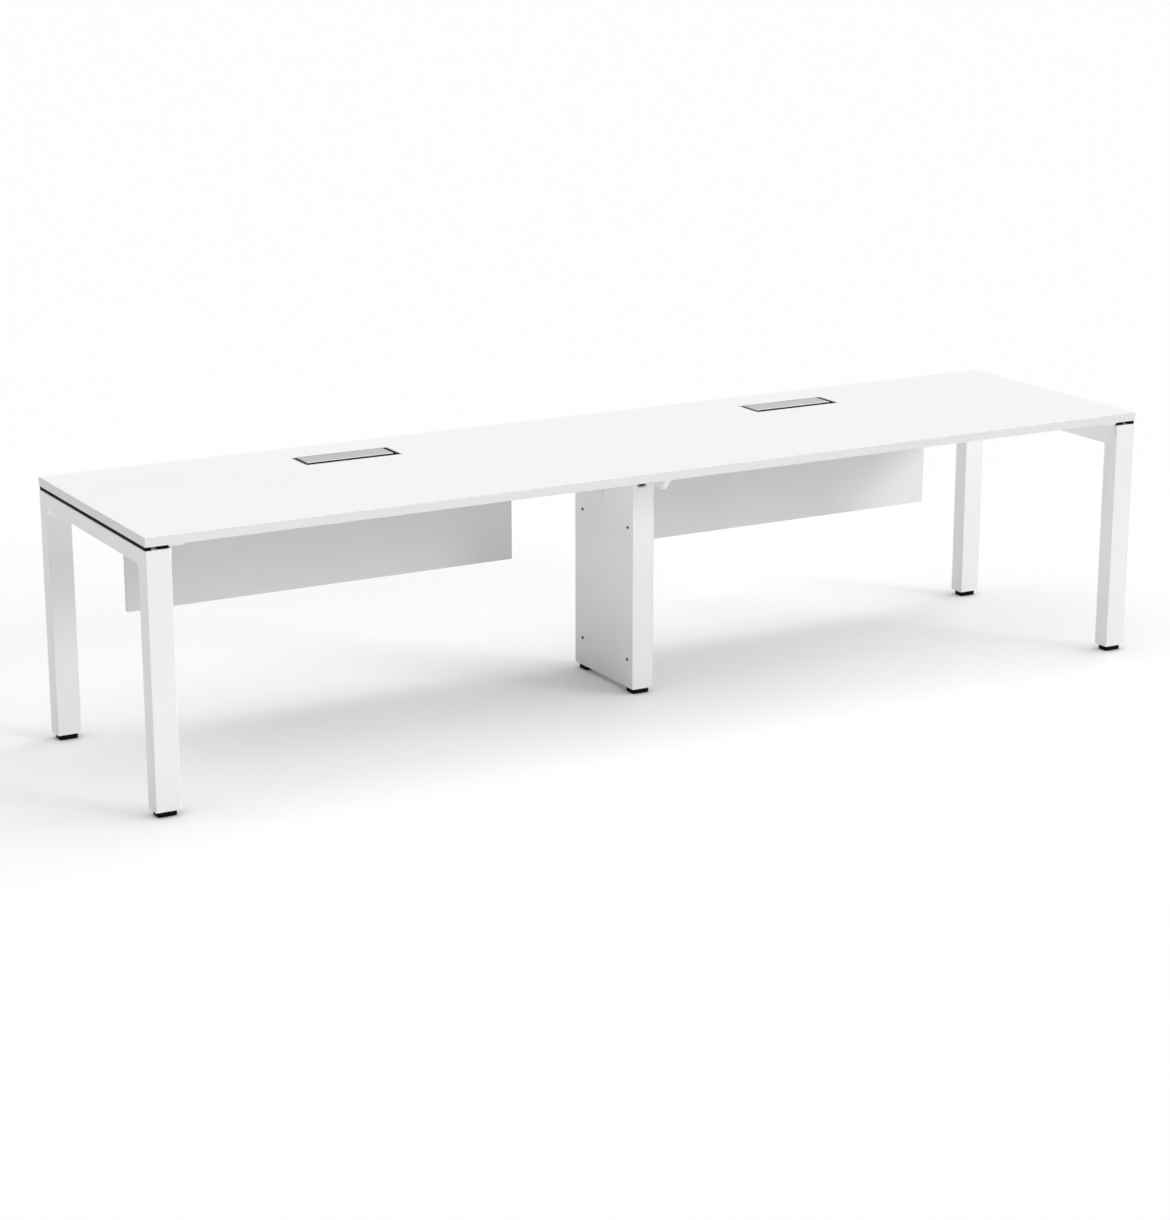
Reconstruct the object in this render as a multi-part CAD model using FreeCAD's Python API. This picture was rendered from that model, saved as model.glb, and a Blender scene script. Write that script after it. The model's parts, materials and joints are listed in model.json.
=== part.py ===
import FreeCAD, Part
import os

# Two-seat linear office desk. Millimetres, origin on the floor under the middle of the desktop.
# +X runs along the desk to the sitter's right, the sitter's side is -Y, +Z is up.

V = FreeCAD.Vector
X_AXIS = V(1, 0, 0)
Y_AXIS = V(0, 1, 0)
Z_AXIS = V(0, 0, 1)

# Overall sizes
DESK_LENGTH = 3200.0
DESK_DEPTH = 800.0
DESK_HEIGHT = 750.0

# Desktop board and its edging
TOP_THICKNESS = 25.0
EDGE_BAND = 2.0
EDGE_ROUND = 1.0
SHADOW_GAP = 10.0

# End frames
LEG_WIDTH = 70.0
LEG_DEPTH = 55.0
LEG_WALL = 2.0
LEG_ROUND = 3.0
INNER_ROUND = 1.0
CROSSBAR_HEIGHT = 45.0
CORNER_RADIUS = 22.0
APRON_PLATE = 3.0
APRON_HEIGHT = 62.5

# Leg tops: plug caps, each with a spacer ring and a packer block, and the lugs beside them
CAP_FLANGE = 2.0
CAP_PLUG_LENGTH = 18.0
PLUG_CLEARANCE = 0.2
PLUG_ROUND = 1.5
PACKER_INSET = 5.0
PACKER_CLEAR = 4.5
PACKER_DEPTH = 40.0
RING_INSET = 27.0
RING_RADIUS = 8.5
RING_BORE = 4.0
RING_CLEARANCE = 0.1
RING_BOSS = 5.0
LUG_REACH = 40.0
LUG_OVERLAP = 5.0
LUG_WIDTH = 36.0
LUG_PLATE = 6.0
LUG_FLANGE = 4.0
LUG_DROP = 25.0
LUG_ROUND = 5.0
LUG_SCREW_INSET = 15.0

# Packing rails between the frames and the desktop
RAIL_OUTER_INSET = 1.0
RAIL_INNER_INSET = 10.0
RAIL_END_INSET = 4.0
RAIL_LIP = 16.0
RAIL_SCREW_INSET = 150.0

# Levelling feet
FOOT_GAP = 0.4
FOOT_PAD = 16.0
FOOT_INSET = 7.5
FOOT_ROUND = 8.0
FOOT_EDGE = 1.5
STUD_RADIUS = 5.0
STUD_LENGTH = 34.0
STUD_CLEARANCE = 0.05
FOOT_PLUG_LENGTH = 40.0

# Middle leg: two posts between side covers, under a top rail
MID_OFFSET = 57.5
MID_WIDTH = 70.0
MID_SETBACK = 332.0
MID_REAR_CLEAR = 126.0
MID_POST_DEPTH = 60.0
MID_BOTTOM_RAIL = 40.0
COVER_SHEET = 1.5
COVER_BOTTOM_GAP = 3.0
COVER_TOP_GAP = 2.0
COVER_ROUND = 1.0
COVER_SCREW_LOW = 87.0
COVER_SCREW_HIGH = 487.0
COVER_SCREW_FORWARD = 16.0
COVER_SLOT_WIDTH = 3.0
COVER_SLOT_HEIGHT = 62.0
COVER_SLOT_ROUND = 1.4
COVER_SLOT_DROP = 76.0
COVER_SLOT_SETBACK = 177.0
END_CAP_PLUG = 15.0
END_CAP_CLEAR = 1.0

# Cable port in the front post
PORT_WIDTH = 30.0
PORT_HEIGHT = 36.0
PORT_DROP = 26.0
PORT_INSET = 13.0
PORT_ROUND = 6.0
GROMMET_WALL = 3.0
GROMMET_FLANGE = 2.0
GROMMET_LIP = 1.5
GROMMET_CLEARANCE = 0.1

# Tapered arm that carries the desktop in front of the middle leg
ARM_REACH = 127.0
ARM_SHEET = 3.0
ARM_FLANGE = 22.0
ARM_DEPTH = 149.0
ARM_KNEE = 44.0
ARM_LIP = 18.0
ARM_ROOT_DEPTH = 93.0
ARM_TIP = 8.0
ARM_SCREW_PITCH = 60.0
ARM_BOLT_DROP = 8.0
ARM_BOLT_PITCH = 22.0

# Beams between the frames
BEAM_WIDTH = 30.0
BEAM_HEIGHT = 40.0
BEAM_WALL = 1.5
BEAM_ROUND = 2.0
FRONT_BEAM_SETBACK = 28.0
REAR_BEAM_CLEAR = 78.0
BEAM_PLATE = 4.0
BEAM_PLATE_MARGIN = 12.0
BEAM_PLATE_FOOT = 3.0
BEAM_BOLT_MARGIN = 6.0
PAD_LENGTH = 60.0
PAD_END_CLEAR = 180.0
PADS_PER_BEAM = 3

# Modesty panels and their angle brackets
PANEL_THICKNESS = 18.0
PANEL_HEIGHT = 383.0
PANEL_TOP_GAP = 1.0
PANEL_REAR_CLEAR = 19.0
PANEL_MID_CLEAR = 147.0
PANEL_END_CLEAR = 228.0
PANEL_EDGE = 1.0
BRACKET_LEG = 38.0
BRACKET_SHEET = 3.0
BRACKET_WIDTH = 40.0
BRACKET_END_CLEAR = 110.0
BRACKETS_PER_PANEL = 3
BRACKET_SCREW_PITCH = 22.0

# Flap boxes in the desktop
FLAP_LENGTH = 302.0
FLAP_DEPTH = 110.0
FLAP_REAR_CLEAR = 122.0
FLAP_SHIFT = 10.0
RIM_WIDTH = 3.0
RIM_THICKNESS = 1.5
RIM_EDGE = 0.5
COLLAR_WALL = 2.0
COLLAR_DROP = 3.0
CUT_CLEARANCE = 0.2
WELL_WALL = 2.5
WELL_TOP_DROP = 0.4
WELL_REAR_DROP = 15.0
WELL_BELOW = 10.0
LID_SIDE_GAP = 0.8
LID_SIDE_REVEAL = 17.0
LID_FRONT_REVEAL = 30.0
LID_REAR_REVEAL = 8.5
LID_PLATE = 4.0
LID_EDGE = 0.6
HINGE_SETBACK = 4.5
HINGE_DROP = 6.0
KNUCKLE_RADIUS = 3.8
KNUCKLE_LENGTH = 9.0
PIN_RADIUS = 2.0
PIN_ENGAGED = 7.0
PIN_CLEARANCE = 0.05
PIN_END_GAP = 0.5
BRUSH_BACK = 4.0
BRUSH_BACK_HEIGHT = 8.0
BRUSH_DROP = 1.0
BRISTLE_DROP = 0.5
BRISTLE_HEIGHT = 3.0
BRISTLE_GAP = 0.6

# Cable trays under the flap boxes
TRAY_SHEET = 1.5
TRAY_DEPTH = 88.0
TRAY_FRONT_MARGIN = 26.0
TRAY_REAR_MARGIN = 2.0
TRAY_FLANGE = 10.0
TRAY_END_CLEAR = 163.0
TRAY_ROUND = 3.0
TRAY_SCREW_END = 40.0
TRAY_SCREWS = 3

# Fasteners
SCREW_RADIUS = 2.0
SCREW_BITE = 15.0
SCREW_HEAD_RADIUS = 4.2
SCREW_HEAD = 2.6
SCREW_CLEARANCE = 0.1
PANEL_BITE = 12.0
ACCESS_RADIUS = 6.0
BOLT_RADIUS = 3.0
BOLT_HEAD_RADIUS = 4.6
BOLT_HEAD = 4.0
BOLT_TAIL = 14.0
HEAD_ROUND = 0.8

# Levels and faces that follow from the sizes above
TOP_UNDER = DESK_HEIGHT - TOP_THICKNESS
FRAME_TOP = TOP_UNDER - SHADOW_GAP
FRAME_BOTTOM = FOOT_PAD + FOOT_GAP
HALF_LENGTH = DESK_LENGTH / 2
HALF_DEPTH = DESK_DEPTH / 2
LEG_X = HALF_LENGTH - LEG_WIDTH / 2
LEG_Y = HALF_DEPTH - LEG_DEPTH / 2
FRAME_INNER = HALF_LENGTH - LEG_WIDTH
LEG_INNER_Y = HALF_DEPTH - LEG_DEPTH
CROSSBAR_BOTTOM = FRAME_TOP - CROSSBAR_HEIGHT
CROSSBAR_INNER = FRAME_INNER + APRON_PLATE
PACKER_LENGTH = LEG_WIDTH - PACKER_INSET - RING_INSET - RING_RADIUS - PACKER_CLEAR

MID_LEFT = MID_OFFSET - MID_WIDTH / 2
MID_RIGHT = MID_OFFSET + MID_WIDTH / 2
MID_FRONT = MID_SETBACK - HALF_DEPTH
MID_REAR = HALF_DEPTH - MID_REAR_CLEAR
MID_POST_YS = (MID_FRONT + MID_POST_DEPTH / 2, MID_REAR - MID_POST_DEPTH / 2)
ARM_ROOT_FLANGE = MID_WIDTH - PORT_INSET - PORT_WIDTH - GROMMET_LIP

FRONT_BEAM_Y = MID_FRONT + FRONT_BEAM_SETBACK + BEAM_WIDTH / 2
REAR_BEAM_Y = HALF_DEPTH - REAR_BEAM_CLEAR - BEAM_WIDTH / 2
BEAM_PLATE_HALF = BEAM_WIDTH / 2 + BEAM_PLATE_MARGIN
MID_RAIL_REAR = REAR_BEAM_Y + BEAM_PLATE_HALF + END_CAP_CLEAR + END_CAP_PLUG

PANEL_NEAR = PANEL_MID_CLEAR
PANEL_FAR = HALF_LENGTH - PANEL_END_CLEAR
PANEL_BACK = HALF_DEPTH - PANEL_REAR_CLEAR
PANEL_FRONT = PANEL_BACK - PANEL_THICKNESS

FLAP_X = (PANEL_NEAR + PANEL_FAR) / 2 - FLAP_SHIFT
FLAP_BACK = HALF_DEPTH - FLAP_REAR_CLEAR
FLAP_FRONT = FLAP_BACK - FLAP_DEPTH
LID_HALF = FLAP_LENGTH / 2 - LID_SIDE_REVEAL
LID_FRONT = FLAP_FRONT + LID_FRONT_REVEAL
LID_BACK = FLAP_BACK - LID_REAR_REVEAL
HINGE_Y = LID_BACK - HINGE_SETBACK
HINGE_Z = DESK_HEIGHT - HINGE_DROP

SIDES = (("left", -1), ("right", 1))
ENDS = (("front", -1), ("rear", 1))


# Shapes

def box(x0, x1, y0, y1, z0, z1):
    """Return a box between two corners, given in any order."""
    xs = sorted((x0, x1))
    ys = sorted((y0, y1))
    zs = sorted((z0, z1))
    return Part.makeBox(xs[1] - xs[0], ys[1] - ys[0], zs[1] - zs[0], V(xs[0], ys[0], zs[0]))


def rounded(shape, axis, radius):
    """Round every straight edge of a box that runs along the axis."""
    along = []
    for edge in shape.Edges:
        ends = edge.Vertexes
        run = ends[1].Point - ends[0].Point
        if abs(run.normalize().dot(axis)) > 0.999:
            along.append(edge)
    return shape.makeFillet(radius, along)


def moved(limits, steps):
    """Return box limits with each one moved by its own step."""
    return [limit + step for limit, step in zip(limits, steps)]


def tube(limits, axis, wall, radius):
    """Return a rounded rectangular tube that fills the box limits and is open along the axis."""
    outer = rounded(box(*limits), axis, radius)
    steps = []
    for along in (axis.x, axis.y, axis.z):
        inset = -wall if along else wall
        steps += [inset, -inset]
    inner = rounded(box(*moved(limits, steps)), axis, max(radius - wall, INNER_ROUND))
    return outer.cut(inner)


def disc(point, axis, radius, length):
    """Return a round bar from the point along the axis."""
    return Part.makeCylinder(radius, length, point, axis)


def prism(points, run):
    """Return the solid that a flat outline sweeps along the run."""
    return Part.Face(Part.makePolygon(points + points[:1])).extrude(run)


def fastener(seat, axis, radius, length, head_radius, head):
    """Return a headed fastener whose head seats at the point and whose shank runs along the axis."""
    top = disc(seat - axis * head, axis, head_radius, head)
    top = top.makeFillet(HEAD_ROUND, [top.Edges[i] for i in outer_rim(top, seat - axis * head)])
    return top.fuse(disc(seat, axis, radius, length)).removeSplitter()


def outer_rim(shape, centre):
    """Return the numbers of the round edges whose circle is centred on the point."""
    found = []
    for number, edge in enumerate(shape.Edges):
        if hasattr(edge.Curve, "Center") and (edge.Curve.Center - centre).Length < 0.001:
            found.append(number)
    return found


def wood_screw(seat, axis, packing, bite):
    """Return a screw that passes through the packing and bites into the board behind it."""
    return fastener(seat, axis, SCREW_RADIUS, packing + bite, SCREW_HEAD_RADIUS, SCREW_HEAD)


def save(name, shapes):
    """Write one node made of one or more separate solids."""
    pieces = shapes if isinstance(shapes, list) else [shapes]
    solids = [solid for piece in pieces for solid in piece.Solids]
    whole = solids[0] if len(solids) == 1 else Part.makeCompound(solids)
    whole.exportStep("parts/" + name + ".step")


# Places of the fasteners, shared by the holes and by the screws that fill them

def beam_pads():
    """Return the centre of every packing pad on the beams, with its beam's centre line."""
    places = []
    for _, side in SIDES:
        near = MID_RIGHT if side > 0 else -MID_LEFT
        first = near + PAD_END_CLEAR
        last = FRAME_INNER - PAD_END_CLEAR
        for beam_y in (FRONT_BEAM_Y, REAR_BEAM_Y):
            for number in range(PADS_PER_BEAM):
                along = first + (last - first) * number / (PADS_PER_BEAM - 1)
                places.append((side * along, beam_y))
    return places


def rail_screws():
    """Return where the end crossbars are screwed up to the desktop."""
    reach = LEG_INNER_Y - RAIL_SCREW_INSET
    return [(side * LEG_X, end * reach) for _, side in SIDES for _, end in ENDS]


def lug_screws():
    """Return where the lugs are screwed up to the desktop."""
    along = FRAME_INNER - LUG_REACH + LUG_SCREW_INSET
    return [(side * along, end * LEG_Y) for _, side in SIDES for _, end in ENDS]


def arm_screws():
    """Return where the front arm is screwed up to the desktop."""
    across = MID_RIGHT - ARM_FLANGE / 2 - ARM_SHEET / 2
    middle = MID_FRONT - ARM_REACH / 2
    return [(across, middle + end * ARM_SCREW_PITCH / 2) for _, end in ENDS]


def panel_brackets():
    """Return the X of the middle of every modesty panel bracket."""
    first = PANEL_NEAR + BRACKET_END_CLEAR
    last = PANEL_FAR - BRACKET_END_CLEAR
    pitch = (last - first) / (BRACKETS_PER_PANEL - 1)
    return [side * (first + pitch * n) for _, side in SIDES for n in range(BRACKETS_PER_PANEL)]


def bracket_screws():
    """Return the X of every screw in the modesty panel brackets."""
    return [x + end * BRACKET_SCREW_PITCH / 2 for x in panel_brackets() for _, end in ENDS]


def tray_limits(side):
    """Return the outside of a cable tray's channel: x0, x1, y0, y1."""
    near = PANEL_NEAR + TRAY_END_CLEAR - FLAP_SHIFT
    far = PANEL_FAR - TRAY_END_CLEAR - FLAP_SHIFT
    return side * near, side * far, FLAP_FRONT - TRAY_FRONT_MARGIN, FLAP_BACK + TRAY_REAR_MARGIN


def tray_screws():
    """Return where the cable tray flanges are screwed up to the desktop."""
    places = []
    for _, side in SIDES:
        near, far, front, back = tray_limits(side)
        first = near + side * TRAY_SCREW_END
        last = far - side * TRAY_SCREW_END
        for y in (front - TRAY_FLANGE / 2, back + TRAY_FLANGE / 2):
            for number in range(TRAY_SCREWS):
                places.append((first + (last - first) * number / (TRAY_SCREWS - 1), y))
    return places


def beam_bolts():
    """Return the seat and axis of every bolt through a beam's end plates."""
    reach = BEAM_WIDTH / 2 + BEAM_BOLT_MARGIN
    level = FRAME_TOP - CROSSBAR_HEIGHT / 2
    bolts = []
    for _, side in SIDES:
        near = MID_RIGHT if side > 0 else MID_LEFT
        for beam_y in (FRONT_BEAM_Y, REAR_BEAM_Y):
            for _, end in ENDS:
                y = beam_y + end * reach
                bolts.append((V(side * (FRAME_INNER - BEAM_PLATE), y, level), X_AXIS * side))
                bolts.append((V(near + side * BEAM_PLATE, y, level), X_AXIS * -side))
    return bolts


def arm_bolts():
    """Return the seat and axis of the bolts that hold the front arm to the middle leg."""
    across = MID_RIGHT - ARM_ROOT_FLANGE / 2 - ARM_SHEET / 2
    high = CROSSBAR_BOTTOM - ARM_BOLT_DROP
    return [(V(across, MID_FRONT - ARM_SHEET, high - drop), Y_AXIS) for drop in (0, ARM_BOLT_PITCH)]


def cover_screws():
    """Return the seat and axis of the screws in the middle leg's side covers."""
    screws = []
    front, rear = MID_POST_YS
    for y in (front, rear - COVER_SCREW_FORWARD):
        for rise in (COVER_SCREW_LOW, COVER_SCREW_HIGH):
            screws.append((V(MID_LEFT, y, FRAME_BOTTOM + rise), X_AXIS))
            screws.append((V(MID_RIGHT, y, FRAME_BOTTOM + rise), X_AXIS * -1))
    return screws


def drilled(shape, places, radius, length):
    """Bore round holes, each given by its start and its axis."""
    for start, axis in places:
        shape = shape.cut(disc(start, axis, radius, length))
    return shape


def board_holes(shape, places, depth):
    """Bore blind screw holes up into the desktop's underside."""
    starts = [(V(x, y, TOP_UNDER), Z_AXIS) for x, y in places]
    return drilled(shape, starts, SCREW_RADIUS + SCREW_CLEARANCE, depth)


# Desktop

def flap_bounds(side, inset, z0, z1):
    """Return a flap box outline moved in by the inset, between two levels."""
    half = FLAP_LENGTH / 2 - inset
    centre = side * FLAP_X
    return box(centre - half, centre + half, FLAP_FRONT + inset, FLAP_BACK - inset, z0, z1)


def desktop():
    """Return the board with its flap cut-outs, rim rebates and blind screw holes."""
    half_x = HALF_LENGTH - EDGE_BAND
    half_y = HALF_DEPTH - EDGE_BAND
    board = box(-half_x, half_x, -half_y, half_y, TOP_UNDER, DESK_HEIGHT)
    for _, side in SIDES:
        board = board.cut(flap_bounds(side, RIM_WIDTH, TOP_UNDER, DESK_HEIGHT))
        board = board.cut(flap_bounds(side, -CUT_CLEARANCE, DESK_HEIGHT - RIM_THICKNESS, DESK_HEIGHT))
    bracket_y = PANEL_FRONT - BRACKET_LEG / 2
    places = beam_pads() + rail_screws() + lug_screws() + arm_screws() + tray_screws()
    places += [(x, bracket_y) for x in bracket_screws()]
    return board_holes(board, places, SCREW_BITE)


def edge_bands():
    """Return the four edge strips by name, with their outer arrises eased."""
    half_x = HALF_LENGTH
    half_y = HALF_DEPTH
    bands = {}
    for name, end in ENDS:
        strip = box(-half_x, half_x, end * (half_y - EDGE_BAND), end * half_y, TOP_UNDER, DESK_HEIGHT)
        bands[name] = eased(strip, lambda p, e=end: abs(p.y - e * half_y) < 0.01, X_AXIS)
    for name, side in SIDES:
        inner = half_y - EDGE_BAND
        strip = box(side * (half_x - EDGE_BAND), side * half_x, -inner, inner, TOP_UNDER, DESK_HEIGHT)
        bands[name] = eased(strip, lambda p, s=side: abs(p.x - s * half_x) < 0.01, Y_AXIS)
    return bands


def eased(strip, on_face, axis):
    """Round the long edges of a strip that lie on its outer face."""
    chosen = []
    for edge in strip.Edges:
        first, last = [vertex.Point for vertex in edge.Vertexes]
        if on_face(first) and on_face(last) and abs((last - first).normalize().dot(axis)) > 0.999:
            chosen.append(edge)
    return strip.makeFillet(EDGE_ROUND, chosen)


# End frames

def leg(side, end):
    """Return one corner leg, short of the frame's top by its cap's flange."""
    limits = [side * LEG_X - LEG_WIDTH / 2, side * LEG_X + LEG_WIDTH / 2]
    limits += [end * LEG_Y - LEG_DEPTH / 2, end * LEG_Y + LEG_DEPTH / 2]
    return tube(limits + [FRAME_BOTTOM, FRAME_TOP - CAP_FLANGE], Z_AXIS, LEG_WALL, LEG_ROUND)


def crossbar(side):
    """Return the bar between two corner legs, with its screw and bolt holes."""
    limits = sorted((side * CROSSBAR_INNER, side * HALF_LENGTH)) + [-LEG_INNER_Y, LEG_INNER_Y]
    bar = tube(limits + [CROSSBAR_BOTTOM, FRAME_TOP], Y_AXIS, LEG_WALL, LEG_ROUND)
    own = [(x, y) for x, y in rail_screws() if x * side > 0]
    bar = seat_holes(bar, own, CROSSBAR_BOTTOM)
    return bolted(bar, side, LEG_WALL)


def bolted(shape, side, wall):
    """Bore an end frame's piece for the bolts of the beams, down to the given wall of the crossbar."""
    bolts = [bolt for bolt in beam_bolts() if bolt[0].x * side > FRAME_INNER - LEG_WIDTH]
    return drilled(shape, bolts, BOLT_RADIUS + SCREW_CLEARANCE, BEAM_PLATE + APRON_PLATE + wall)


def apron(side):
    """Return the plate on a crossbar's inner side, which reaches lower than the bar."""
    plate = box(side * FRAME_INNER, side * CROSSBAR_INNER, -LEG_INNER_Y, LEG_INNER_Y,
                FRAME_TOP - APRON_HEIGHT, FRAME_TOP)
    return bolted(plate, side, 0)


def seat_holes(bar, places, bottom):
    """Bore a tube for screws that seat inside its top wall and go in through its bottom wall."""
    middle = (bottom + FRAME_TOP) / 2
    for x, y in places:
        bar = bar.cut(disc(V(x, y, bottom), Z_AXIS, ACCESS_RADIUS, middle - bottom))
        bar = bar.cut(disc(V(x, y, middle), Z_AXIS, SCREW_RADIUS + SCREW_CLEARANCE, FRAME_TOP - middle))
    return bar


def corner_web(side, end):
    """Return the rounded web that fills the inner corner of leg and crossbar."""
    y = end * LEG_INNER_Y
    block = box(side * CROSSBAR_INNER, side * HALF_LENGTH, y, y - end * CORNER_RADIUS,
                CROSSBAR_BOTTOM - CORNER_RADIUS, CROSSBAR_BOTTOM)
    centre = V(FRAME_INNER * side, y - end * CORNER_RADIUS, CROSSBAR_BOTTOM - CORNER_RADIUS)
    return block.cut(disc(centre, X_AXIS * side, CORNER_RADIUS, LEG_WIDTH))


def leg_section(side, end, inset, z0, z1, radius):
    """Return a bar of the leg's outline moved in by the inset."""
    half_x = LEG_WIDTH / 2 - inset
    half_y = LEG_DEPTH / 2 - inset
    x = side * LEG_X
    y = end * LEG_Y
    return rounded(box(x - half_x, x + half_x, y - half_y, y + half_y, z0, z1), Z_AXIS, radius)


def leg_top_cap(side, end):
    """Return a plug cap with the boss that centres the spacer ring."""
    inside = LEG_WALL + PLUG_CLEARANCE
    flange_bottom = FRAME_TOP - CAP_FLANGE
    cap = leg_section(side, end, 0, flange_bottom, FRAME_TOP, LEG_ROUND)
    plug = leg_section(side, end, inside, flange_bottom - CAP_PLUG_LENGTH, flange_bottom, PLUG_ROUND)
    boss = disc(ring_seat(side, end), Z_AXIS, RING_BORE - RING_CLEARANCE, RING_BOSS)
    return cap.fuse([plug, boss]).removeSplitter()


def packer(side, end):
    """Return the block that packs the desktop up from a leg's inner half."""
    start = side * (FRAME_INNER + PACKER_INSET)
    half = PACKER_DEPTH / 2
    return box(start, start + side * PACKER_LENGTH, end * LEG_Y - half, end * LEG_Y + half,
               FRAME_TOP, TOP_UNDER)


def ring_seat(side, end):
    """Return the middle of a spacer ring's seat on its cap."""
    return V(side * (HALF_LENGTH - RING_INSET), end * LEG_Y, FRAME_TOP)


def leg_spacer(side, end):
    """Return the ring that holds the shadow gap open at a leg's outer half."""
    seat = ring_seat(side, end)
    ring = disc(seat, Z_AXIS, RING_RADIUS, SHADOW_GAP)
    return ring.cut(disc(seat, Z_AXIS, RING_BORE, SHADOW_GAP))


def top_lug(side, end):
    """Return an angled lug: a flange on the leg's inner face and a tab under the desktop."""
    tab_bottom = TOP_UNDER - LUG_PLATE
    y = end * LEG_Y - LUG_WIDTH / 2
    tip = side * (FRAME_INNER - LUG_REACH)
    heel = side * (FRAME_INNER + LUG_OVERLAP)
    tab = box(tip, heel, y, y + LUG_WIDTH, tab_bottom, TOP_UNDER)
    corner = [e for e in tab.Edges if abs(e.CenterOfMass.x - tip) < 0.01
              and abs(e.CenterOfMass.z - tab_bottom) < 0.01]
    tab = tab.makeFillet(LUG_ROUND, corner)
    face = side * FRAME_INNER
    flange = box(face, face - side * LUG_FLANGE, y, y + LUG_WIDTH, tab_bottom - LUG_DROP, tab_bottom)
    lug = tab.fuse(flange).removeSplitter()
    own = [(V(x, sy, tab_bottom), Z_AXIS) for x, sy in lug_screws() if x * side > 0 and sy * end > 0]
    return drilled(lug, own, SCREW_RADIUS + SCREW_CLEARANCE, LUG_PLATE)


def spacer_rail(side):
    """Return the packing rail on an end crossbar, with a lip that runs on over both legs."""
    outer = side * (HALF_LENGTH - RAIL_OUTER_INSET)
    inner = side * (FRAME_INNER + RAIL_INNER_INSET)
    reach = HALF_DEPTH - RAIL_END_INSET
    rail = box(outer, inner, -LEG_INNER_Y, LEG_INNER_Y, FRAME_TOP, TOP_UNDER)
    lip = box(outer, outer - side * RAIL_LIP, -reach, reach, FRAME_TOP, TOP_UNDER)
    rail = rail.fuse(lip).removeSplitter()
    own = [(V(x, y, FRAME_TOP), Z_AXIS) for x, y in rail_screws() if x * side > 0]
    return drilled(rail, own, SCREW_RADIUS + SCREW_CLEARANCE, SHADOW_GAP)


# Levelling feet

def feet():
    """Return each foot's name, centre and the outline of the tube that it screws into."""
    places = []
    for side_name, side in SIDES:
        for end_name, end in ENDS:
            centre = (side * LEG_X, end * LEG_Y)
            places.append((side_name + "_" + end_name, centre, (LEG_WIDTH, LEG_DEPTH)))
    for (end_name, _), y in zip(ENDS, MID_POST_YS):
        places.append(("mid_" + end_name, (MID_OFFSET, y), (MID_WIDTH, MID_POST_DEPTH)))
    return places


def foot(centre, outline):
    """Return a foot's pad and threaded stud as one turned and moulded piece."""
    x, y = centre
    half_x = outline[0] / 2 - FOOT_INSET
    half_y = outline[1] / 2 - FOOT_INSET
    pad = rounded(box(x - half_x, x + half_x, y - half_y, y + half_y, 0, FOOT_PAD), Z_AXIS, FOOT_ROUND)
    rims = [edge for edge in pad.Edges if abs(edge.BoundBox.ZMax - edge.BoundBox.ZMin) < 0.01]
    pad = pad.makeFillet(FOOT_EDGE, rims)
    return pad.fuse(disc(V(x, y, FOOT_PAD), Z_AXIS, STUD_RADIUS, STUD_LENGTH)).removeSplitter()


def foot_plug(centre, outline, wall):
    """Return the threaded plug in a tube's lower end."""
    x, y = centre
    half_x = outline[0] / 2 - wall - PLUG_CLEARANCE
    half_y = outline[1] / 2 - LEG_WALL - PLUG_CLEARANCE
    top = FRAME_BOTTOM + FOOT_PLUG_LENGTH
    plug = rounded(box(x - half_x, x + half_x, y - half_y, y + half_y, FRAME_BOTTOM, top),
                   Z_AXIS, PLUG_ROUND)
    bore = STUD_RADIUS + STUD_CLEARANCE
    return plug.cut(disc(V(x, y, FRAME_BOTTOM), Z_AXIS, bore, FOOT_PLUG_LENGTH))


# Middle leg

def mid_post(y):
    """Return one post of the middle leg, a tube between the two covers."""
    half = MID_WIDTH / 2 - COVER_SHEET
    limits = [MID_OFFSET - half, MID_OFFSET + half, y - MID_POST_DEPTH / 2, y + MID_POST_DEPTH / 2]
    post = tube(limits + [FRAME_BOTTOM, CROSSBAR_BOTTOM], Z_AXIS, LEG_WALL, COVER_ROUND)
    own = [screw for screw in cover_screws() if abs(screw[0].y - y) < MID_POST_DEPTH / 2]
    return drilled(post, own, SCREW_RADIUS + SCREW_CLEARANCE, COVER_SHEET + LEG_WALL)


def port_bounds(inset, y0, y1):
    """Return the cable port's outline moved in by the inset, as a bar through the front wall."""
    left = MID_LEFT + PORT_INSET
    top = CROSSBAR_BOTTOM - PORT_DROP + PORT_HEIGHT / 2
    bar = box(left + inset, left + PORT_WIDTH - inset, y0, y1,
              top - PORT_HEIGHT + inset, top - inset)
    return rounded(bar, Y_AXIS, PORT_ROUND - inset)


def mid_front_post():
    """Return the front post with its cable port, which goes right through, and the arm's bolt holes."""
    post = mid_post(MID_POST_YS[0]).cut(port_bounds(0, MID_FRONT, MID_FRONT + MID_POST_DEPTH))
    return drilled(post, arm_bolts(), BOLT_RADIUS + SCREW_CLEARANCE, ARM_SHEET + LEG_WALL)


def mid_grommet():
    """Return the bush that lines the cable port."""
    through = GROMMET_CLEARANCE
    front = MID_FRONT - GROMMET_FLANGE
    back = MID_FRONT + LEG_WALL + GROMMET_FLANGE
    bush = port_bounds(through, MID_FRONT, back)
    flange = port_bounds(-GROMMET_LIP, front, MID_FRONT)
    return bush.fuse(flange).removeSplitter().cut(port_bounds(GROMMET_WALL, front, back))


def mid_top_rail():
    """Return the rail on the two posts, which runs back to carry the rear beams."""
    limits = [MID_LEFT, MID_RIGHT, MID_FRONT, MID_RAIL_REAR, CROSSBAR_BOTTOM, FRAME_TOP]
    rail = tube(limits, Y_AXIS, LEG_WALL, LEG_ROUND)
    bolts = [bolt for bolt in beam_bolts() if abs(bolt[0].x - MID_OFFSET) < MID_WIDTH]
    return drilled(rail, bolts, BOLT_RADIUS + SCREW_CLEARANCE, LEG_WALL + BEAM_PLATE)


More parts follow.
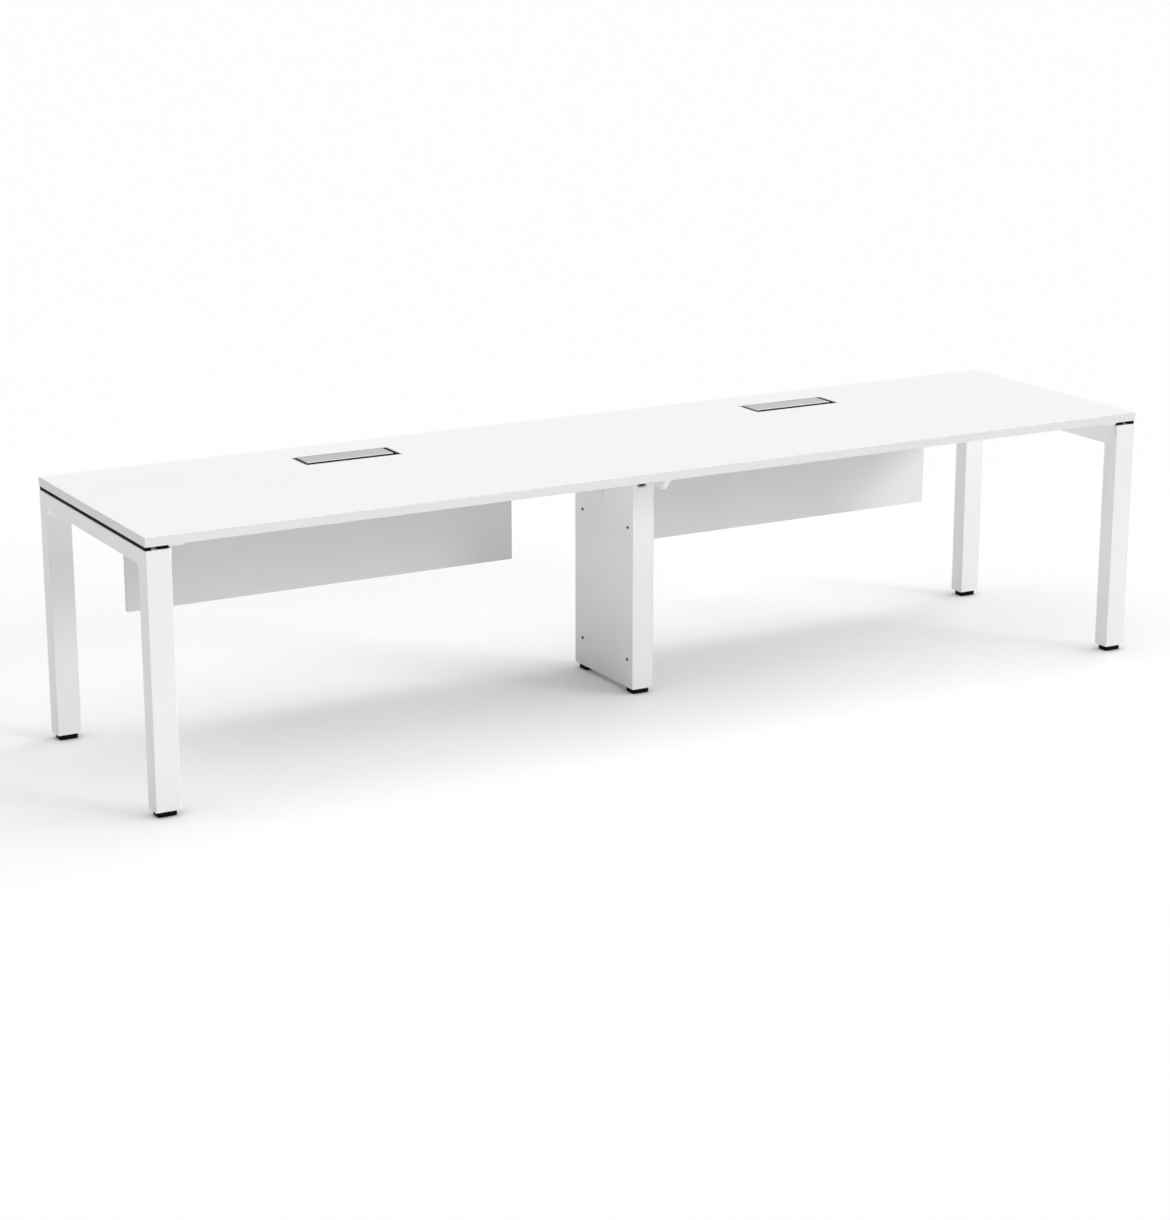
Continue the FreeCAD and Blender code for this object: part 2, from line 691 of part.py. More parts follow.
def mid_rail_cap():
    """Return the plug cap in the rear end of the middle leg's top rail."""
    limits = [MID_LEFT, MID_RIGHT, MID_RAIL_REAR, MID_RAIL_REAR + CAP_FLANGE, CROSSBAR_BOTTOM, FRAME_TOP]
    inset = LEG_WALL + PLUG_CLEARANCE
    flange = rounded(box(*limits), Y_AXIS, LEG_ROUND)
    plug = box(*moved(limits, [inset, -inset, -END_CAP_PLUG, -CAP_FLANGE, inset, -inset]))
    return flange.fuse(rounded(plug, Y_AXIS, PLUG_ROUND)).removeSplitter()


def mid_bottom_rail():
    """Return the tie between the feet of the two posts."""
    half = MID_WIDTH / 2 - COVER_SHEET
    limits = [MID_OFFSET - half, MID_OFFSET + half, MID_FRONT + MID_POST_DEPTH, MID_REAR - MID_POST_DEPTH]
    levels = [FRAME_BOTTOM, FRAME_BOTTOM + MID_BOTTOM_RAIL]
    return tube(limits + levels, Y_AXIS, LEG_WALL, COVER_ROUND)


def mid_cover(face, inward, slotted):
    """Return a side cover with its screw holes and, on one side, a cable slot."""
    top = CROSSBAR_BOTTOM - COVER_TOP_GAP
    sheet = box(face, face + inward * COVER_SHEET, MID_FRONT, MID_REAR,
                FRAME_BOTTOM + COVER_BOTTOM_GAP, top)
    sheet = rounded(sheet, X_AXIS, COVER_ROUND)
    own = [screw for screw in cover_screws() if abs(screw[0].x - face) < 0.01]
    sheet = drilled(sheet, own, SCREW_RADIUS + SCREW_CLEARANCE, COVER_SHEET)
    if slotted:
        y = MID_FRONT + COVER_SLOT_SETBACK
        half = COVER_SLOT_WIDTH / 2
        high = CROSSBAR_BOTTOM - COVER_SLOT_DROP + COVER_SLOT_HEIGHT / 2
        slot = box(face, face + inward * COVER_SHEET, y - half, y + half, high - COVER_SLOT_HEIGHT, high)
        sheet = sheet.cut(rounded(slot, X_AXIS, COVER_SLOT_ROUND))
    return sheet


def mid_front_arm():
    """Return the tapered arm: a kneed web with a lip to its right, a root flange and a top flange."""
    right = MID_RIGHT
    left = right - ARM_FLANGE
    web_left = right - ARM_SHEET
    root_low = TOP_UNDER - ARM_ROOT_DEPTH
    knee = MID_FRONT - ARM_KNEE
    knee_low = TOP_UNDER - ARM_DEPTH + (ARM_DEPTH - ARM_TIP) * ARM_KNEE / ARM_REACH
    tip = MID_FRONT - ARM_REACH
    tip_low = TOP_UNDER - ARM_TIP
    outline = [(MID_FRONT, root_low), (knee, knee_low), (tip, tip_low), (tip, TOP_UNDER), (MID_FRONT, TOP_UNDER)]
    web = prism([V(web_left, y, z) for y, z in outline], X_AXIS * ARM_SHEET)
    slope = [(knee, knee_low), (tip, tip_low), (tip, tip_low + ARM_SHEET), (knee, knee_low + ARM_SHEET)]
    lip = prism([V(web_left, y, z) for y, z in slope], X_AXIS * ARM_LIP)
    top = box(left, right, tip, MID_FRONT, TOP_UNDER - ARM_SHEET, TOP_UNDER)
    back = box(right - ARM_ROOT_FLANGE, right, MID_FRONT - ARM_SHEET, MID_FRONT, root_low, TOP_UNDER)
    arm = web.fuse([lip, top, back]).removeSplitter()
    arm = drilled(arm, arm_bolts(), BOLT_RADIUS + SCREW_CLEARANCE, ARM_SHEET)
    seats = [(V(x, y, TOP_UNDER - ARM_SHEET), Z_AXIS) for x, y in arm_screws()]
    return drilled(arm, seats, SCREW_RADIUS + SCREW_CLEARANCE, ARM_SHEET)


def mid_spacer_rail():
    """Return the packing rail on the middle leg's top rail."""
    return box(MID_LEFT + RAIL_INNER_INSET, MID_RIGHT - RAIL_INNER_INSET,
               MID_FRONT, MID_RAIL_REAR, FRAME_TOP, TOP_UNDER)


# Beams

def beam_span(side):
    """Return where a beam starts at the middle leg and ends at the end frame."""
    near = MID_RIGHT if side > 0 else MID_LEFT
    return near + side * BEAM_PLATE, side * (FRAME_INNER - BEAM_PLATE)


def beam(side, y):
    """Return one beam with the holes for its desktop screws."""
    start, stop = sorted(beam_span(side))
    bottom = FRAME_TOP - BEAM_HEIGHT
    limits = [start, stop, y - BEAM_WIDTH / 2, y + BEAM_WIDTH / 2, bottom, FRAME_TOP]
    bar = tube(limits, X_AXIS, BEAM_WALL, BEAM_ROUND)
    own = [(x, pad_y) for x, pad_y in beam_pads() if x * side > 0 and abs(pad_y - y) < 0.01]
    return seat_holes(bar, own, bottom)


def beam_plates(side, y):
    """Return the two end plates of one beam."""
    half = BEAM_PLATE_HALF
    bottom = FRAME_TOP - CROSSBAR_HEIGHT + BEAM_PLATE_FOOT
    plates = []
    for face, inward in zip(beam_span(side), (-side, side)):
        plate = box(face, face + inward * BEAM_PLATE, y - half, y + half, bottom, FRAME_TOP)
        own = [bolt for bolt in beam_bolts() if abs(bolt[0].x - face) < 0.01 and abs(bolt[0].y - y) < half]
        plates.append(drilled(plate, own, BOLT_RADIUS + SCREW_CLEARANCE, BEAM_PLATE))
    return plates


def beam_pad(x, y):
    """Return the packing pad between a beam and the desktop."""
    pad = box(x - PAD_LENGTH / 2, x + PAD_LENGTH / 2, y - BEAM_WIDTH / 2, y + BEAM_WIDTH / 2,
              FRAME_TOP, TOP_UNDER)
    return drilled(pad, [(V(x, y, FRAME_TOP), Z_AXIS)], SCREW_RADIUS + SCREW_CLEARANCE, SHADOW_GAP)


# Modesty panels

def modesty_panel(side):
    """Return one hanging panel with its edges eased and its bracket screws' holes."""
    top = TOP_UNDER - PANEL_TOP_GAP
    panel = box(side * PANEL_NEAR, side * PANEL_FAR, PANEL_FRONT, PANEL_BACK, top - PANEL_HEIGHT, top)
    panel = rounded(panel, X_AXIS, PANEL_EDGE)
    own = [(V(x, PANEL_FRONT, bracket_screw_level()), Y_AXIS) for x in bracket_screws() if x * side > 0]
    return drilled(panel, own, SCREW_RADIUS + SCREW_CLEARANCE, PANEL_BITE)


def bracket_screw_level():
    """Return the height of the screws that hold a bracket to its panel."""
    return TOP_UNDER - BRACKET_LEG / 2


def panel_bracket(x):
    """Return one folded angle bracket with its four screw holes."""
    half = BRACKET_WIDTH / 2
    front = PANEL_FRONT - BRACKET_LEG
    bottom = TOP_UNDER - BRACKET_LEG
    whole = box(x - half, x + half, front, PANEL_FRONT, bottom, TOP_UNDER)
    hollow = box(x - half, x + half, front, PANEL_FRONT - BRACKET_SHEET, bottom, TOP_UNDER - BRACKET_SHEET)
    angle = whole.cut(hollow)
    holes = []
    for _, end in ENDS:
        at = x + end * BRACKET_SCREW_PITCH / 2
        holes.append((V(at, PANEL_FRONT - BRACKET_LEG / 2, TOP_UNDER - BRACKET_SHEET), Z_AXIS))
        holes.append((V(at, PANEL_FRONT - BRACKET_SHEET, bracket_screw_level()), Y_AXIS))
    return drilled(angle, holes, SCREW_RADIUS + SCREW_CLEARANCE, BRACKET_SHEET)


def panel_screws():
    """Return every screw in the modesty panel brackets."""
    screws = []
    for x in bracket_screws():
        up = V(x, PANEL_FRONT - BRACKET_LEG / 2, TOP_UNDER - BRACKET_SHEET)
        back = V(x, PANEL_FRONT - BRACKET_SHEET, bracket_screw_level())
        screws.append(wood_screw(up, Z_AXIS, BRACKET_SHEET, SCREW_BITE))
        screws.append(wood_screw(back, Y_AXIS, BRACKET_SHEET, PANEL_BITE))
    return screws


# Flap boxes

def flap_frame(side):
    """Return the rim that lies flush in the desktop and the collar that lines its cut-out."""
    collar_outer = RIM_WIDTH + CUT_CLEARANCE
    rim = flap_bounds(side, 0, DESK_HEIGHT - RIM_THICKNESS, DESK_HEIGHT)
    upper = [e for e in rim.Edges if e.BoundBox.ZMin > DESK_HEIGHT - 0.01]
    rim = rim.makeChamfer(RIM_EDGE, upper)
    collar = flap_bounds(side, collar_outer, TOP_UNDER - COLLAR_DROP, DESK_HEIGHT - RIM_THICKNESS)
    hollow = flap_bounds(side, collar_outer + COLLAR_WALL, TOP_UNDER - COLLAR_DROP, DESK_HEIGHT)
    return rim.fuse(collar).removeSplitter().cut(hollow)


def well_outer():
    """Return how far the well's outside lies in from the flap box's outline."""
    return RIM_WIDTH + CUT_CLEARANCE + COLLAR_WALL + PLUG_CLEARANCE


def flap_well(side):
    """Return the open-bottomed well with the cheeks that carry the hinge pins."""
    inset = well_outer()
    bottom = TOP_UNDER - WELL_BELOW
    top = DESK_HEIGHT - WELL_TOP_DROP
    well = flap_bounds(side, inset, bottom, top)
    centre = side * FLAP_X
    inner = LID_HALF + LID_SIDE_GAP
    back = FLAP_BACK - inset - WELL_WALL
    well = well.cut(box(centre - inner, centre + inner, FLAP_FRONT + inset + WELL_WALL, back, bottom, top))
    rear_top = DESK_HEIGHT - WELL_REAR_DROP
    well = well.cut(box(centre - inner, centre + inner, back, FLAP_BACK - inset, rear_top, top))
    bore = PIN_RADIUS + PIN_CLEARANCE
    depth = inner + PIN_ENGAGED
    return well.cut(disc(V(centre - depth, HINGE_Y, HINGE_Z), X_AXIS, bore, 2 * depth))


def flap_lid(side):
    """Return the lid plate with the knuckles that hold its hinge pins."""
    centre = side * FLAP_X
    plate_bottom = DESK_HEIGHT - LID_PLATE
    plate = box(centre - LID_HALF, centre + LID_HALF, LID_FRONT, LID_BACK, plate_bottom, DESK_HEIGHT)
    upper = [e for e in plate.Edges if e.BoundBox.ZMin > DESK_HEIGHT - 0.01]
    plate = plate.makeChamfer(LID_EDGE, upper)
    knuckles = []
    for _, end in SIDES:
        start = centre + end * LID_HALF
        knuckles.append(disc(V(start, HINGE_Y, HINGE_Z), X_AXIS * -end, KNUCKLE_RADIUS, KNUCKLE_LENGTH))
    lid = plate.fuse(knuckles).removeSplitter()
    for start, axis in pin_starts(side):
        lid = lid.cut(disc(start, axis, PIN_RADIUS, KNUCKLE_LENGTH))
    return lid


def pin_starts(side):
    """Return the inner end and the outward axis of a lid's two hinge pins."""
    reach = LID_HALF - KNUCKLE_LENGTH
    centre = side * FLAP_X
    return [(V(centre + end * reach, HINGE_Y, HINGE_Z), X_AXIS * end) for _, end in SIDES]


def hinge_pins(side):
    """Return the two pins of one lid, which end inside the well's cheeks."""
    length = KNUCKLE_LENGTH + LID_SIDE_GAP + PIN_ENGAGED - PIN_END_GAP
    return [disc(start, axis, PIN_RADIUS, length) for start, axis in pin_starts(side)]


def brush_strip(side):
    """Return the brush in front of the lid: a back strip and its band of bristles."""
    centre = side * FLAP_X
    front = FLAP_FRONT + well_outer() + WELL_WALL
    back_top = DESK_HEIGHT - BRUSH_DROP
    strip = box(centre - LID_HALF, centre + LID_HALF, front, front + BRUSH_BACK,
                back_top - BRUSH_BACK_HEIGHT, back_top)
    bristle_top = back_top - BRISTLE_DROP
    band = box(centre - LID_HALF, centre + LID_HALF, front + BRUSH_BACK, LID_FRONT - BRISTLE_GAP,
               bristle_top - BRISTLE_HEIGHT, bristle_top)
    return strip.fuse(band).removeSplitter()


# Cable trays

def cable_tray(side):
    """Return an open-ended folded channel with a screwed flange along each side."""
    near, far, front, back = tray_limits(side)
    bottom = TOP_UNDER - TRAY_DEPTH
    channel = rounded_channel(near, far, front, back, bottom)
    flange_bottom = TOP_UNDER - TRAY_SHEET
    flanges = [box(near, far, front - TRAY_FLANGE, front + TRAY_SHEET, flange_bottom, TOP_UNDER)]
    flanges.append(box(near, far, back - TRAY_SHEET, back + TRAY_FLANGE, flange_bottom, TOP_UNDER))
    tray = channel.fuse(flanges).removeSplitter()
    own = [(V(x, y, flange_bottom), Z_AXIS) for x, y in tray_screws() if x * side > 0]
    return drilled(tray, own, SCREW_RADIUS + SCREW_CLEARANCE, TRAY_SHEET)


def rounded_channel(near, far, front, back, bottom):
    """Return a U channel along X whose two lower folds are rounded."""
    outer = box(near, far, front, back, bottom, TOP_UNDER)
    inner = box(near, far, front + TRAY_SHEET, back - TRAY_SHEET, bottom + TRAY_SHEET, TOP_UNDER)
    return folded(outer, bottom, TRAY_ROUND).cut(folded(inner, bottom + TRAY_SHEET, TRAY_ROUND - TRAY_SHEET))


def folded(shape, level, radius):
    """Round the edges along X that lie at the level."""
    low = [e for e in shape.Edges if e.BoundBox.ZMax < level + 0.01 and e.BoundBox.YLength < 0.01]
    return shape.makeFillet(radius, low)


# Screws up into the desktop

def top_screws():
    """Return every screw that goes up into the desktop, apart from the panel brackets' own."""
    screws = []
    for x, y in beam_pads():
        seat = V(x, y, FRAME_TOP - BEAM_WALL)
        screws.append(wood_screw(seat, Z_AXIS, BEAM_WALL + SHADOW_GAP, SCREW_BITE))
    for x, y in rail_screws():
        seat = V(x, y, FRAME_TOP - LEG_WALL)
        screws.append(wood_screw(seat, Z_AXIS, LEG_WALL + SHADOW_GAP, SCREW_BITE))
    for places, plate in ((lug_screws(), LUG_PLATE), (arm_screws(), ARM_SHEET), (tray_screws(), TRAY_SHEET)):
        for x, y in places:
            screws.append(wood_screw(V(x, y, TOP_UNDER - plate), Z_AXIS, plate, SCREW_BITE))
    return screws


def frame_bolts():
    """Return the bolts of the beam plates and of the front arm."""
    bolts = []
    for seat, axis in beam_bolts() + arm_bolts():
        bolts.append(fastener(seat, axis, BOLT_RADIUS, BOLT_TAIL, BOLT_HEAD_RADIUS, BOLT_HEAD))
    return bolts


def build():
    """Make every node of the desk."""
    os.makedirs("parts", exist_ok=True)
    corners = [(side, end) for _, side in SIDES for _, end in ENDS]

    save("desktop", desktop())
    for name, band in edge_bands().items():
        save(name + "_edge_band", band)

    for side_name, side in SIDES:
        for end_name, end in ENDS:
            save(side_name + "_" + end_name + "_leg", leg(side, end))
        save(side_name + "_crossbar", crossbar(side))
        packing = [spacer_rail(side)] + [packer(side, end) for _, end in ENDS]
        save(side_name + "_spacer_rail", packing)
    save("crossbar_aprons", [apron(side) for _, side in SIDES])
    save("corner_webs", [corner_web(*corner) for corner in corners])
    save("leg_top_caps", [leg_top_cap(*corner) for corner in corners])
    save("leg_spacers", [leg_spacer(*corner) for corner in corners])
    save("top_lugs", [top_lug(*corner) for corner in corners])

    plugs = []
    for name, centre, outline in feet():
        save(name + "_foot", foot(centre, outline))
        sheet = COVER_SHEET if name.startswith("mid") else 0
        plugs.append(foot_plug(centre, outline, LEG_WALL + sheet))
    save("foot_plugs", plugs)

    save("mid_front_post", mid_front_post())
    save("mid_rear_post", mid_post(MID_POST_YS[1]))
    save("mid_top_rail", mid_top_rail())
    save("mid_rail_cap", mid_rail_cap())
    save("mid_bottom_rail", mid_bottom_rail())
    save("mid_left_cover", mid_cover(MID_LEFT, 1, True))
    save("mid_right_cover", mid_cover(MID_RIGHT, -1, False))
    screws = [wood_screw(seat, axis, COVER_SHEET, LEG_WALL) for seat, axis in cover_screws()]
    save("mid_cover_screws", screws)
    save("mid_cable_grommet", mid_grommet())
    save("mid_front_arm", mid_front_arm())
    save("mid_spacer_rail", mid_spacer_rail())

    plates = []
    for side_name, side in SIDES:
        for end_name, y in (("front", FRONT_BEAM_Y), ("rear", REAR_BEAM_Y)):
            save(side_name + "_" + end_name + "_beam", beam(side, y))
            plates += beam_plates(side, y)
    save("beam_end_plates", plates)
    save("beam_pads", [beam_pad(x, y) for x, y in beam_pads()])
    save("frame_bolts", frame_bolts())

    save("panel_brackets", [panel_bracket(x) for x in panel_brackets()])
    save("panel_screws", panel_screws())
    save("top_screws", top_screws())
    for side_name, side in SIDES:
        save(side_name + "_modesty_panel", modesty_panel(side))
        save(side_name + "_flap_frame", flap_frame(side))
        save(side_name + "_flap_well", flap_well(side))
        save(side_name + "_flap_lid", flap_lid(side))
        save(side_name + "_hinge_pins", hinge_pins(side))
        save(side_name + "_brush_strip", brush_strip(side))
        save(side_name + "_cable_tray", cable_tray(side))


build()
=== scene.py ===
"""Finishes, small pieces and studio for a two-seat linear office desk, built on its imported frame."""

import json
import logging
import math
from dataclasses import dataclass, field
from enum import Enum

import bmesh
import bpy
from bmesh.types import BMesh, BMVert
from bpy.types import Material, Mesh, Node, NodeSocket, NodeTree, Object
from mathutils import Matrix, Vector


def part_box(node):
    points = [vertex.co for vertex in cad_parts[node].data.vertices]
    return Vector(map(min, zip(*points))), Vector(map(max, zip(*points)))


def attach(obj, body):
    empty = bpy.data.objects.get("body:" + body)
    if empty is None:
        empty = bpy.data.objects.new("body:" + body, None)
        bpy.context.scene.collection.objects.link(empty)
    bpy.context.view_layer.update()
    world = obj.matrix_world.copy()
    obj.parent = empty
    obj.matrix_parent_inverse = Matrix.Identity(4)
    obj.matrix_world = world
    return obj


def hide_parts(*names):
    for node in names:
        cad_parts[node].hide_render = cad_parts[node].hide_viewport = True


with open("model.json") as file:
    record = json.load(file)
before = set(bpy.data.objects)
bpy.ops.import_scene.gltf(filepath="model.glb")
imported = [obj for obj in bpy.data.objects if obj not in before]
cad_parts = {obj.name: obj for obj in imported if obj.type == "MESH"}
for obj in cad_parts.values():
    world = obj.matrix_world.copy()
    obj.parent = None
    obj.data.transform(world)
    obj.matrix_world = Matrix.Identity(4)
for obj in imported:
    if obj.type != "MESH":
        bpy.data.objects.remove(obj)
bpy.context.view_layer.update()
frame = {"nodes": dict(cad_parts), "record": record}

LOG = logging.getLogger("office_desk")
MM = 0.001
IMAGE_WIDTH = 1170
IMAGE_HEIGHT = 1220
MERGE = 0.001 * MM
NODE_SPACING = 190
MIX_COLOUR_A = 6
MIX_COLOUR_B = 7
MIX_COLOUR_OUT = 2

Colour = tuple[float, float, float]
Number = float | NodeSocket
InputValue = float | str | tuple | NodeSocket


class NodeSheet:
    """A node tree with short calls that add nodes and link them by socket name."""

    def __init__(self, tree: NodeTree) -> None:
        """Keep the tree and start its layout at the left."""
        self.tree = tree
        self.column = 0

    def add(self, kind: str, inputs: dict | None = None, **settings: str | int | NodeTree) -> Node:
        """Add a node to the right of the last one.

        Args:
            kind: Blender's identifier of the node type.
            inputs: socket names or numbers, each with a fixed value or an output socket to link.
            settings: attributes of the node.

        Returns:
            The new node.
        """
        node = self.tree.nodes.new(kind)
        node.location = (self.column * NODE_SPACING, 0)
        self.column += 1
        for key, value in settings.items():
            setattr(node, key, value)
        for key, value in (inputs or {}).items():
            self.feed(node.inputs[key], value)
        return node

    def feed(self, socket: NodeSocket, value: InputValue) -> None:
        """Link a socket to another one, or set its fixed value.

        Args:
            socket: the input socket.
            value: an output socket or a plain value.
        """
        if isinstance(value, NodeSocket):
            self.tree.links.new(value, socket)
        else:
            socket.default_value = value

    def math(self, operation: str, first: Number, second: Number) -> NodeSocket:
        """Return the result of a sum on two values or sockets."""
        return self.add("ShaderNodeMath", {0: first, 1: second}, operation=operation).outputs[0]

    def vector(self, x: Number, y: Number, z: Number) -> NodeSocket:
        """Return a vector of three values or sockets."""
        return self.add("ShaderNodeCombineXYZ", {"X": x, "Y": y, "Z": z}).outputs["Vector"]


def new_tree(name: str, kind: str, inputs: dict[str, str], outputs: dict[str, str]) -> NodeTree:
    """Make an empty node group with named sockets.

    Args:
        name: the group's name.
        kind: Blender's identifier of the tree type.
        inputs: input names with their socket types.
        outputs: output names with their socket types.

    Returns:
        The new tree.
    """
    tree = bpy.data.node_groups.new(name, kind)
    for side, sockets in (("INPUT", inputs), ("OUTPUT", outputs)):
        for label, socket_type in sockets.items():
            tree.interface.new_socket(label, in_out=side, socket_type=socket_type)
    return tree


class SurfaceEffect:
    """A shader node group that several finishes share, built on its first use."""

    name = ""
    inputs: dict[str, str] = {}
    outputs: dict[str, str] = {}

    def fill(self, sheet: NodeSheet, given: Node) -> dict[str, NodeSocket]:
        """Build the inside of the group and return the socket behind each output."""
        raise NotImplementedError

    def tree(self) -> NodeTree:
        """Find the node group, or make it on the first call.

        Returns:
            The node group.
        """
        if self.name not in bpy.data.node_groups:
            sheet = NodeSheet(new_tree(self.name, "ShaderNodeTree", self.inputs, self.outputs))
            made = self.fill(sheet, sheet.add("NodeGroupInput"))
            sheet.add("NodeGroupOutput", made)
        return bpy.data.node_groups[self.name]

    def place(self, sheet: NodeSheet, inputs: dict) -> Node:
        """Place the group in a material.

        Args:
            sheet: the material's node sheet.
            inputs: the group's input names, each with a value or a socket.

        Returns:
            The group node.
        """
        node = sheet.add("ShaderNodeGroup", node_tree=self.tree())
        for label, value in inputs.items():
            sheet.feed(node.inputs[label], value)
        return node


class SoftMottle(SurfaceEffect):
    """Broad, faint unevenness of tone between two colours."""

    name = "soft_mottle"
    inputs = {"Place": "NodeSocketVector", "Scale": "NodeSocketFloat", "Low": "NodeSocketColor",
              "High": "NodeSocketColor"}
    outputs = {"Colour": "NodeSocketColor", "Mask": "NodeSocketFloat"}
    detail = 4.0
    roughness = 0.55
    lowest = 0.3
    highest = 0.7

    def fill(self, sheet: NodeSheet, given: Node) -> dict[str, NodeSocket]:
        """Build the inside of the group.

        Args:
            sheet: the group's node sheet.
            given: the group's input node.

        Returns:
            The output names with the sockets behind them.
        """
        cloud = sheet.add("ShaderNodeTexNoise", {
            "Vector": given.outputs["Place"], "Scale": given.outputs["Scale"], "Detail": self.detail,
            "Roughness": self.roughness})
        mask = sheet.add("ShaderNodeMapRange", {"Value": cloud.outputs["Fac"], "From Min": self.lowest,
                                                "From Max": self.highest}).outputs["Result"]
        tone = sheet.add("ShaderNodeMix", {0: mask, MIX_COLOUR_A: given.outputs["Low"],
                                           MIX_COLOUR_B: given.outputs["High"]}, data_type="RGBA")
        return {"Colour": tone.outputs[MIX_COLOUR_OUT], "Mask": mask}


class FineGrain(SurfaceEffect):
    """Small even bumps: the pores of a laminate, orange peel in paint or the texture of a mould."""

    name = "fine_grain"
    inputs = {"Place": "NodeSocketVector", "Scale": "NodeSocketFloat", "Pitting": "NodeSocketFloat"}
    outputs = {"Height": "NodeSocketFloat"}
    detail = 2.0

    def fill(self, sheet: NodeSheet, given: Node) -> dict[str, NodeSocket]:
        """Build the inside of the group.

        Args:
            sheet: the group's node sheet.
            given: the group's input node.

        Returns:
            The output names with the sockets behind them.
        """
        place = {"Vector": given.outputs["Place"], "Scale": given.outputs["Scale"]}
        swell = sheet.add("ShaderNodeTexNoise", {**place, "Detail": self.detail}).outputs["Fac"]
        pits = sheet.add("ShaderNodeTexVoronoi", place, feature="SMOOTH_F1").outputs["Distance"]
        share = sheet.math("MULTIPLY", pits, given.outputs["Pitting"])
        return {"Height": sheet.math("ADD", swell, share)}


class LongStreaks(SurfaceEffect):
    """Fine lines along the desk, left by brushing, drawing or extruding."""

    name = "long_streaks"
    inputs = {"Place": "NodeSocketVector", "Along": "NodeSocketFloat", "Across": "NodeSocketFloat"}
    outputs = {"Mask": "NodeSocketFloat"}
    detail = 5.0
    roughness = 0.6
    lowest = 0.25
    highest = 0.75

    def fill(self, sheet: NodeSheet, given: Node) -> dict[str, NodeSocket]:
        """Build the inside of the group.

        Args:
            sheet: the group's node sheet.
            given: the group's input node.

        Returns:
            The output names with the sockets behind them.
        """
        across = given.outputs["Across"]
        stretch = sheet.vector(given.outputs["Along"], across, across)
        place = sheet.add("ShaderNodeVectorMath", {0: given.outputs["Place"], 1: stretch},
                          operation="MULTIPLY")
        lines = sheet.add("ShaderNodeTexNoise", {"Vector": place.outputs["Vector"], "Scale": 1.0,
                                                 "Detail": self.detail, "Roughness": self.roughness})
        mask = sheet.add("ShaderNodeMapRange", {"Value": lines.outputs["Fac"], "From Min": self.lowest,
                                                "From Max": self.highest})
        return {"Mask": mask.outputs["Result"]}


@dataclass(frozen=True)
class Finish:
    """A finish with two close tones, a range of gloss and a relief, made into a material once."""

    slot: str
    low: Colour
    high: Colour
    smoothest: float
    roughest: float
    mottle_scale: float
    relief: float

    def material(self) -> Material:
        """Find the finish's material, or build it on the first call.

        Returns:
            The material.
        """
        name = f"{self.slot}_finish"
        if name in bpy.data.materials:
            return bpy.data.materials[name]
        material = bpy.data.materials.new(name)
        material.use_nodes = True
        material.diffuse_color = (*self.high, 1.0)
        sheet = NodeSheet(material.node_tree)
        shader = material.node_tree.nodes["Principled BSDF"]
        place = sheet.add("ShaderNodeTexCoord").outputs["Object"]
        tone = SoftMottle().place(sheet, {"Place": place, "Scale": self.mottle_scale,
                                          "Low": (*self.low, 1.0), "High": (*self.high, 1.0)})
        sheet.feed(shader.inputs["Base Color"], tone.outputs["Colour"])
        self.gloss(sheet, shader, place, tone.outputs["Mask"])
        height = self.height(sheet, place)
        bump = sheet.add("ShaderNodeBump", {"Height": height, "Distance": self.relief, "Strength": 1.0})
        sheet.feed(shader.inputs["Normal"], bump.outputs["Normal"])
        self.character(shader)
        return material

    def gloss(self, sheet: NodeSheet, shader: Node, place: NodeSocket,
              mask: NodeSocket) -> None:
        """Let the roughness follow the mottle between its two limits."""
        range_of = {"Value": mask, "To Min": self.roughest, "To Max": self.smoothest}
        sheet.feed(shader.inputs["Roughness"], sheet.add("ShaderNodeMapRange", range_of).outputs["Result"])

    def height(self, sheet: NodeSheet, place: NodeSocket) -> NodeSocket:
        """Return the height that the relief follows."""
        raise NotImplementedError

    def character(self, shader: Node) -> None:
        """Set what is the same all over the surface."""
        raise NotImplementedError


@dataclass(frozen=True)
class GrainedFinish(Finish):
    """Board, paint or plastic with a fine grain."""

    grain_scale: float
    pitting: float
    specular: float

    def height(self, sheet: NodeSheet, place: NodeSocket) -> NodeSocket:
        """Return the height of the grain."""
        inputs = {"Place": place, "Scale": self.grain_scale, "Pitting": self.pitting}
        return FineGrain().place(sheet, inputs).outputs["Height"]

    def character(self, shader: Node) -> None:
        """Set how strongly the surface mirrors."""
        shader.inputs["Specular IOR Level"].default_value = self.specular


@dataclass(frozen=True)
class StreakedFinish(Finish):
    """Metal or plastic with lines along the desk."""

    along: float
    across: float
    metallic: float

    def gloss(self, sheet: NodeSheet, shader: Node, place: NodeSocket,
              mask: NodeSocket) -> None:
        """Let the roughness follow the streaks between its two limits."""
        super().gloss(sheet, shader, place, self.height(sheet, place))

    def height(self, sheet: NodeSheet, place: NodeSocket) -> NodeSocket:
        """Return the height of the streaks."""
        inputs = {"Place": place, "Along": self.along, "Across": self.across}
        return LongStreaks().place(sheet, inputs).outputs["Mask"]

    def character(self, shader: Node) -> None:
        """Set whether the surface is bare metal."""
        shader.inputs["Metallic"].default_value = self.metallic


def grey(level: float) -> Colour:
    """Return a neutral colour."""
    return (level, level, level)


